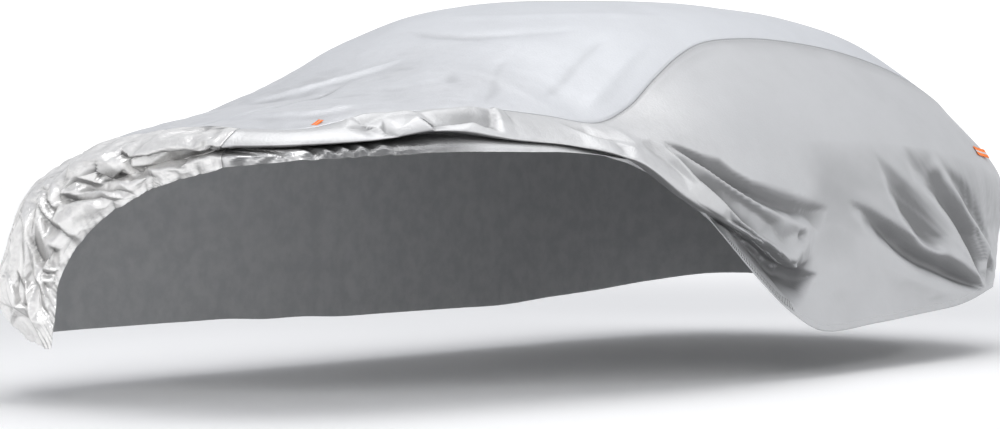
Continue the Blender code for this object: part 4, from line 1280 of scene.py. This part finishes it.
# Painted shade on the front: darker in its creases and on facets that lean away from the light above.
shade_nose = 0.5 * hollows(nose_net, nose_out, 2, 0.008) + leaning(nose_net, nose_out, (0, -0.5, 0.85)) * 1.3
nose_mesh = grid_mesh(
    "front_cloth", nose_net, (down_nose, along_nose),
    {"foil": 1 + 0 * seam_nose, "seam": seam_nose, "hem": edge_nose, "hollow": shade_nose},
)
front_cloth = sheet_piece(
    "front_cloth", nose_mesh, NOSE_MIDDLE, [FRONT_CLOTH, LINING], "front_panel"
)

# %% [markdown]
# ## The ribbed tape and the tags
# A ribbed tape is sewn along the falling edge of the near side, just above its hem. It lies on the cloth,
# so its net is a strip of the cloth's own net, lifted by the thickness of both. The two small tags are
# sewn into a seam by one end, so they stand a little off the cloth.

# %% Tape and tags
TAPE_SPAN = (8.3, 10.15)  # stations that the tape runs between
TAPE_COLUMNS = (14, 5)  # the net's columns before its hem that the tape lies between
TAPE_THICK, TAG_THICK = 0.0011, 0.0009
LIFT = 0.0004  # what the tape and the tags keep from the cloth
RIB_PITCH, RAIL_PITCH = 0.0115, 0.0065  # of the tape's ribs, and of the lines that run along it
WEBBING_PITCH = 0.0016  # of the threads of a tag


def ribbed_tape():
    material, shader, place = new_material("ribbed tape")
    metres = place.node("ShaderNodeUVMap", {"uv_map": "metres"})
    run = metres.node("ShaderNodeSeparateXYZ", _0=metres)
    across = metres.node("ShaderNodeSeparateXYZ", output=1, _0=metres)
    ribs, rails = ridges(run, RIB_PITCH), ridges(across, RAIL_PITCH)
    grain = place.node("ShaderNodeTexNoise", Vector=place, Scale=500.0, Detail=3.0)
    colour = blend(ribs.scaled(0.2, 0.8) * 0.8 + grain * 0.2, (0.07, 0.072, 0.075), (0.62, 0.625, 0.63))
    join(shader, Base_Color=colour, Roughness=0.7, Normal=raised(place, ribs * 0.0007 + rails * 0.0004))
    return material


def tag_cloth(name, half_stripe):
    """Orange webbing, woven across, with a pale grey stripe along its middle."""
    material, shader, place = new_material(name)
    metres = place.node("ShaderNodeUVMap", {"uv_map": "metres"})
    run = metres.node("ShaderNodeSeparateXYZ", _0=metres)
    across = metres.node("ShaderNodeSeparateXYZ", output=1, _0=metres)
    stripe = 1 - abs(across).scaled(half_stripe, half_stripe + 0.001)
    weave = ridges(run, WEBBING_PITCH) * ridges(across, WEBBING_PITCH)
    colour = blend(stripe, (0.95, 0.20, 0.015), (0.62, 0.60, 0.60))
    colour = blend(weave * 0.35, colour, (0.55, 0.12, 0.02))
    join(shader, Base_Color=colour, Roughness=0.6, Normal=raised(place, weave * 0.0004))
    return material


RIBBED = ribbed_tape()
STRIPED_TAG, PLAIN_TAG = tag_cloth("orange tag with a stripe", 0.0045), tag_cloth("plain orange tag", 0.0004)
first, last = (int(np.argmin(np.abs(np.array(near_ats) - at))) for at in TAPE_SPAN)
columns = slice(-1 - TAPE_COLUMNS[0], -TAPE_COLUMNS[1])
tape_net = near_net[first : last + 1, columns]
tape_out = outward(near_net, MIDDLE)[first : last + 1, columns]
tape_net = tape_net + tape_out * (SHEET / 2 + LIFT + TAPE_THICK / 2)
tape_uv = (along_near[first : last + 1, columns], down_near[first : last + 1, columns])
tape = sheet_piece(
    "ribbed_tape", grid_mesh("ribbed_tape", tape_net, tape_uv, {}), MIDDLE, [RIBBED], "edge_tape",
    TAPE_THICK,
)


def sewn_tag(name, cloth_net, centre, size, away, node, webbing):
    """A tag on the cloth at a point, its free end standing away from it by so much."""
    normals = outward(cloth_net, MIDDLE)
    apart = np.linalg.norm(cloth_net - np.array(centre), axis=2)
    spot = np.unravel_index(apart.argmin(), apart.shape)
    normal = Vector(normals[spot])
    forward = (Vector((1, 0, 0)) - normal * normal.x).normalized()
    up = normal.cross(forward)
    seat = Vector(cloth_net[spot]) + normal * (SHEET / 2 + LIFT + TAG_THICK / 2)

    def place(along, high):
        off = normal * away * max(0, along + 0.5) ** 1.5
        return seat + forward * along * size[0] + up * high * size[1] + off

    tag_net = net(spread(16, 0.5, -0.5), spread(6, 0.5, -0.5), place)
    half = size[1] / 2
    uv = np.meshgrid(np.linspace(0, size[0], 17), np.linspace(-half, half, 7), indexing="ij")
    mesh = grid_mesh(name, tag_net, uv, {})
    return sheet_piece(name, mesh, MIDDLE, [webbing], node, TAG_THICK)


REAR_SPOT, REAR_SIZE, REAR_AWAY = (3.05, -0.82, 0.832), (0.130, 0.045), 0.010
FRONT_SPOT, FRONT_SIZE, FRONT_AWAY = (-0.44, -0.44, 0.91), (0.035, 0.022), 0.006
rear_tag = sewn_tag("tag_rear", near_net, REAR_SPOT, REAR_SIZE, REAR_AWAY, "rear_tag", STRIPED_TAG)
front_tag = sewn_tag("tag_front", top_net, FRONT_SPOT, FRONT_SIZE, FRONT_AWAY, "front_tag", PLAIN_TAG)

# %% [markdown]
# ## The floor, the light and the camera
# A pale floor and large soft lights from above keep the cloth readable. Polished foil mirrors what is
# round it, so the room must not be the same brightness everywhere, or the foil looks like paper.

# %% Floor, light and camera
floor_net = bmesh.new()
bmesh.ops.create_grid(floor_net, x_segments=1, y_segments=1, size=60)
bmesh.ops.translate(floor_net, verts=floor_net.verts, vec=(0, 0, -ROOF.z))
floor_mesh = bpy.data.meshes.new("floor")
floor_net.to_mesh(floor_mesh)
floor = bpy.data.objects.new("floor", floor_mesh)
bpy.context.scene.collection.objects.link(floor)
floor_material, floor_shader, floor_place = new_material("studio floor")
far_off = floor_place.node("ShaderNodeVectorMath", {"operation": "LENGTH"}, output=1, _0=floor_place)
glow = blend(far_off.scaled(3.5, 11.0), (0, 0, 0), (0.45, 0.45, 0.45))
join(floor_shader, Base_Color=(0.92, 0.92, 0.92, 1), Roughness=0.9)
join(floor_shader, Emission_Color=glow, Emission_Strength=1.0)
floor_mesh.materials.append(floor_material)

world = bpy.data.worlds.new("studio")
bpy.context.scene.world = world
world.use_nodes = True
sky = world.node_tree.nodes["Background"]
direction = Value(world.node_tree, world.node_tree.nodes.new("ShaderNodeTexCoord").outputs["Generated"])
rise = direction.node("ShaderNodeSeparateXYZ", output=2, _0=direction)
shade = rise.node(
    "ShaderNodeValToRGB",
    {
        "stops": [
            (0.0, (1.2, 1.2, 1.2)), (0.10, (1.2, 1.2, 1.2)), (0.25, (0.75, 0.76, 0.78)),
            (0.50, (0.36, 0.37, 0.40)), (0.80, (0.55, 0.56, 0.59)), (1.0, (0.85, 0.85, 0.87)),
        ]
    },
    _0=rise,
)
world.node_tree.links.new(shade.socket, sky.inputs["Color"])
sky.inputs["Strength"].default_value = 1.0


def soft_light(name, spot, aim, size, power):
    light = bpy.data.lights.new(name, "AREA")
    light.shape = "RECTANGLE"
    light.size, light.size_y = size
    light.energy = power
    lamp = bpy.data.objects.new(name, light)
    bpy.context.scene.collection.objects.link(lamp)
    lamp.location = spot
    lamp.rotation_euler = (Vector(aim) - Vector(spot)).to_track_quat("-Z", "Y").to_euler()


soft_light("soft_top", (-0.6, -0.8, 4.0), (0, 0, 0), (6.0, 4.0), 165)
soft_light("soft_front", (-5.5, -3.0, 2.4), (-1.0, 0, -0.6), (2.4, 1.4), 82)
soft_light("soft_side", (2.5, -6.0, 2.6), (1.0, 0, -0.5), (3.0, 1.2), 60)

CAMERA_SPOT = Vector((-5.693, -5.647, 0.787)) - ROOF
YAW, PITCH = math.radians(40.3), math.radians(-1.22)
LENS, SENSOR = 85, 36  # focal length and width of the sensor, in mm
lens = bpy.data.cameras.new("camera")
lens.lens = LENS
lens.sensor_width = SENSOR
camera = bpy.data.objects.new("camera", lens)
bpy.context.scene.collection.objects.link(camera)
camera.location = CAMERA_SPOT
ahead = Vector((math.cos(YAW) * math.cos(PITCH), math.sin(YAW) * math.cos(PITCH), math.sin(PITCH)))
camera.rotation_euler = ahead.to_track_quat("-Z", "Y").to_euler()
bpy.context.scene.camera = camera
bpy.context.scene.view_settings.view_transform = "Standard"
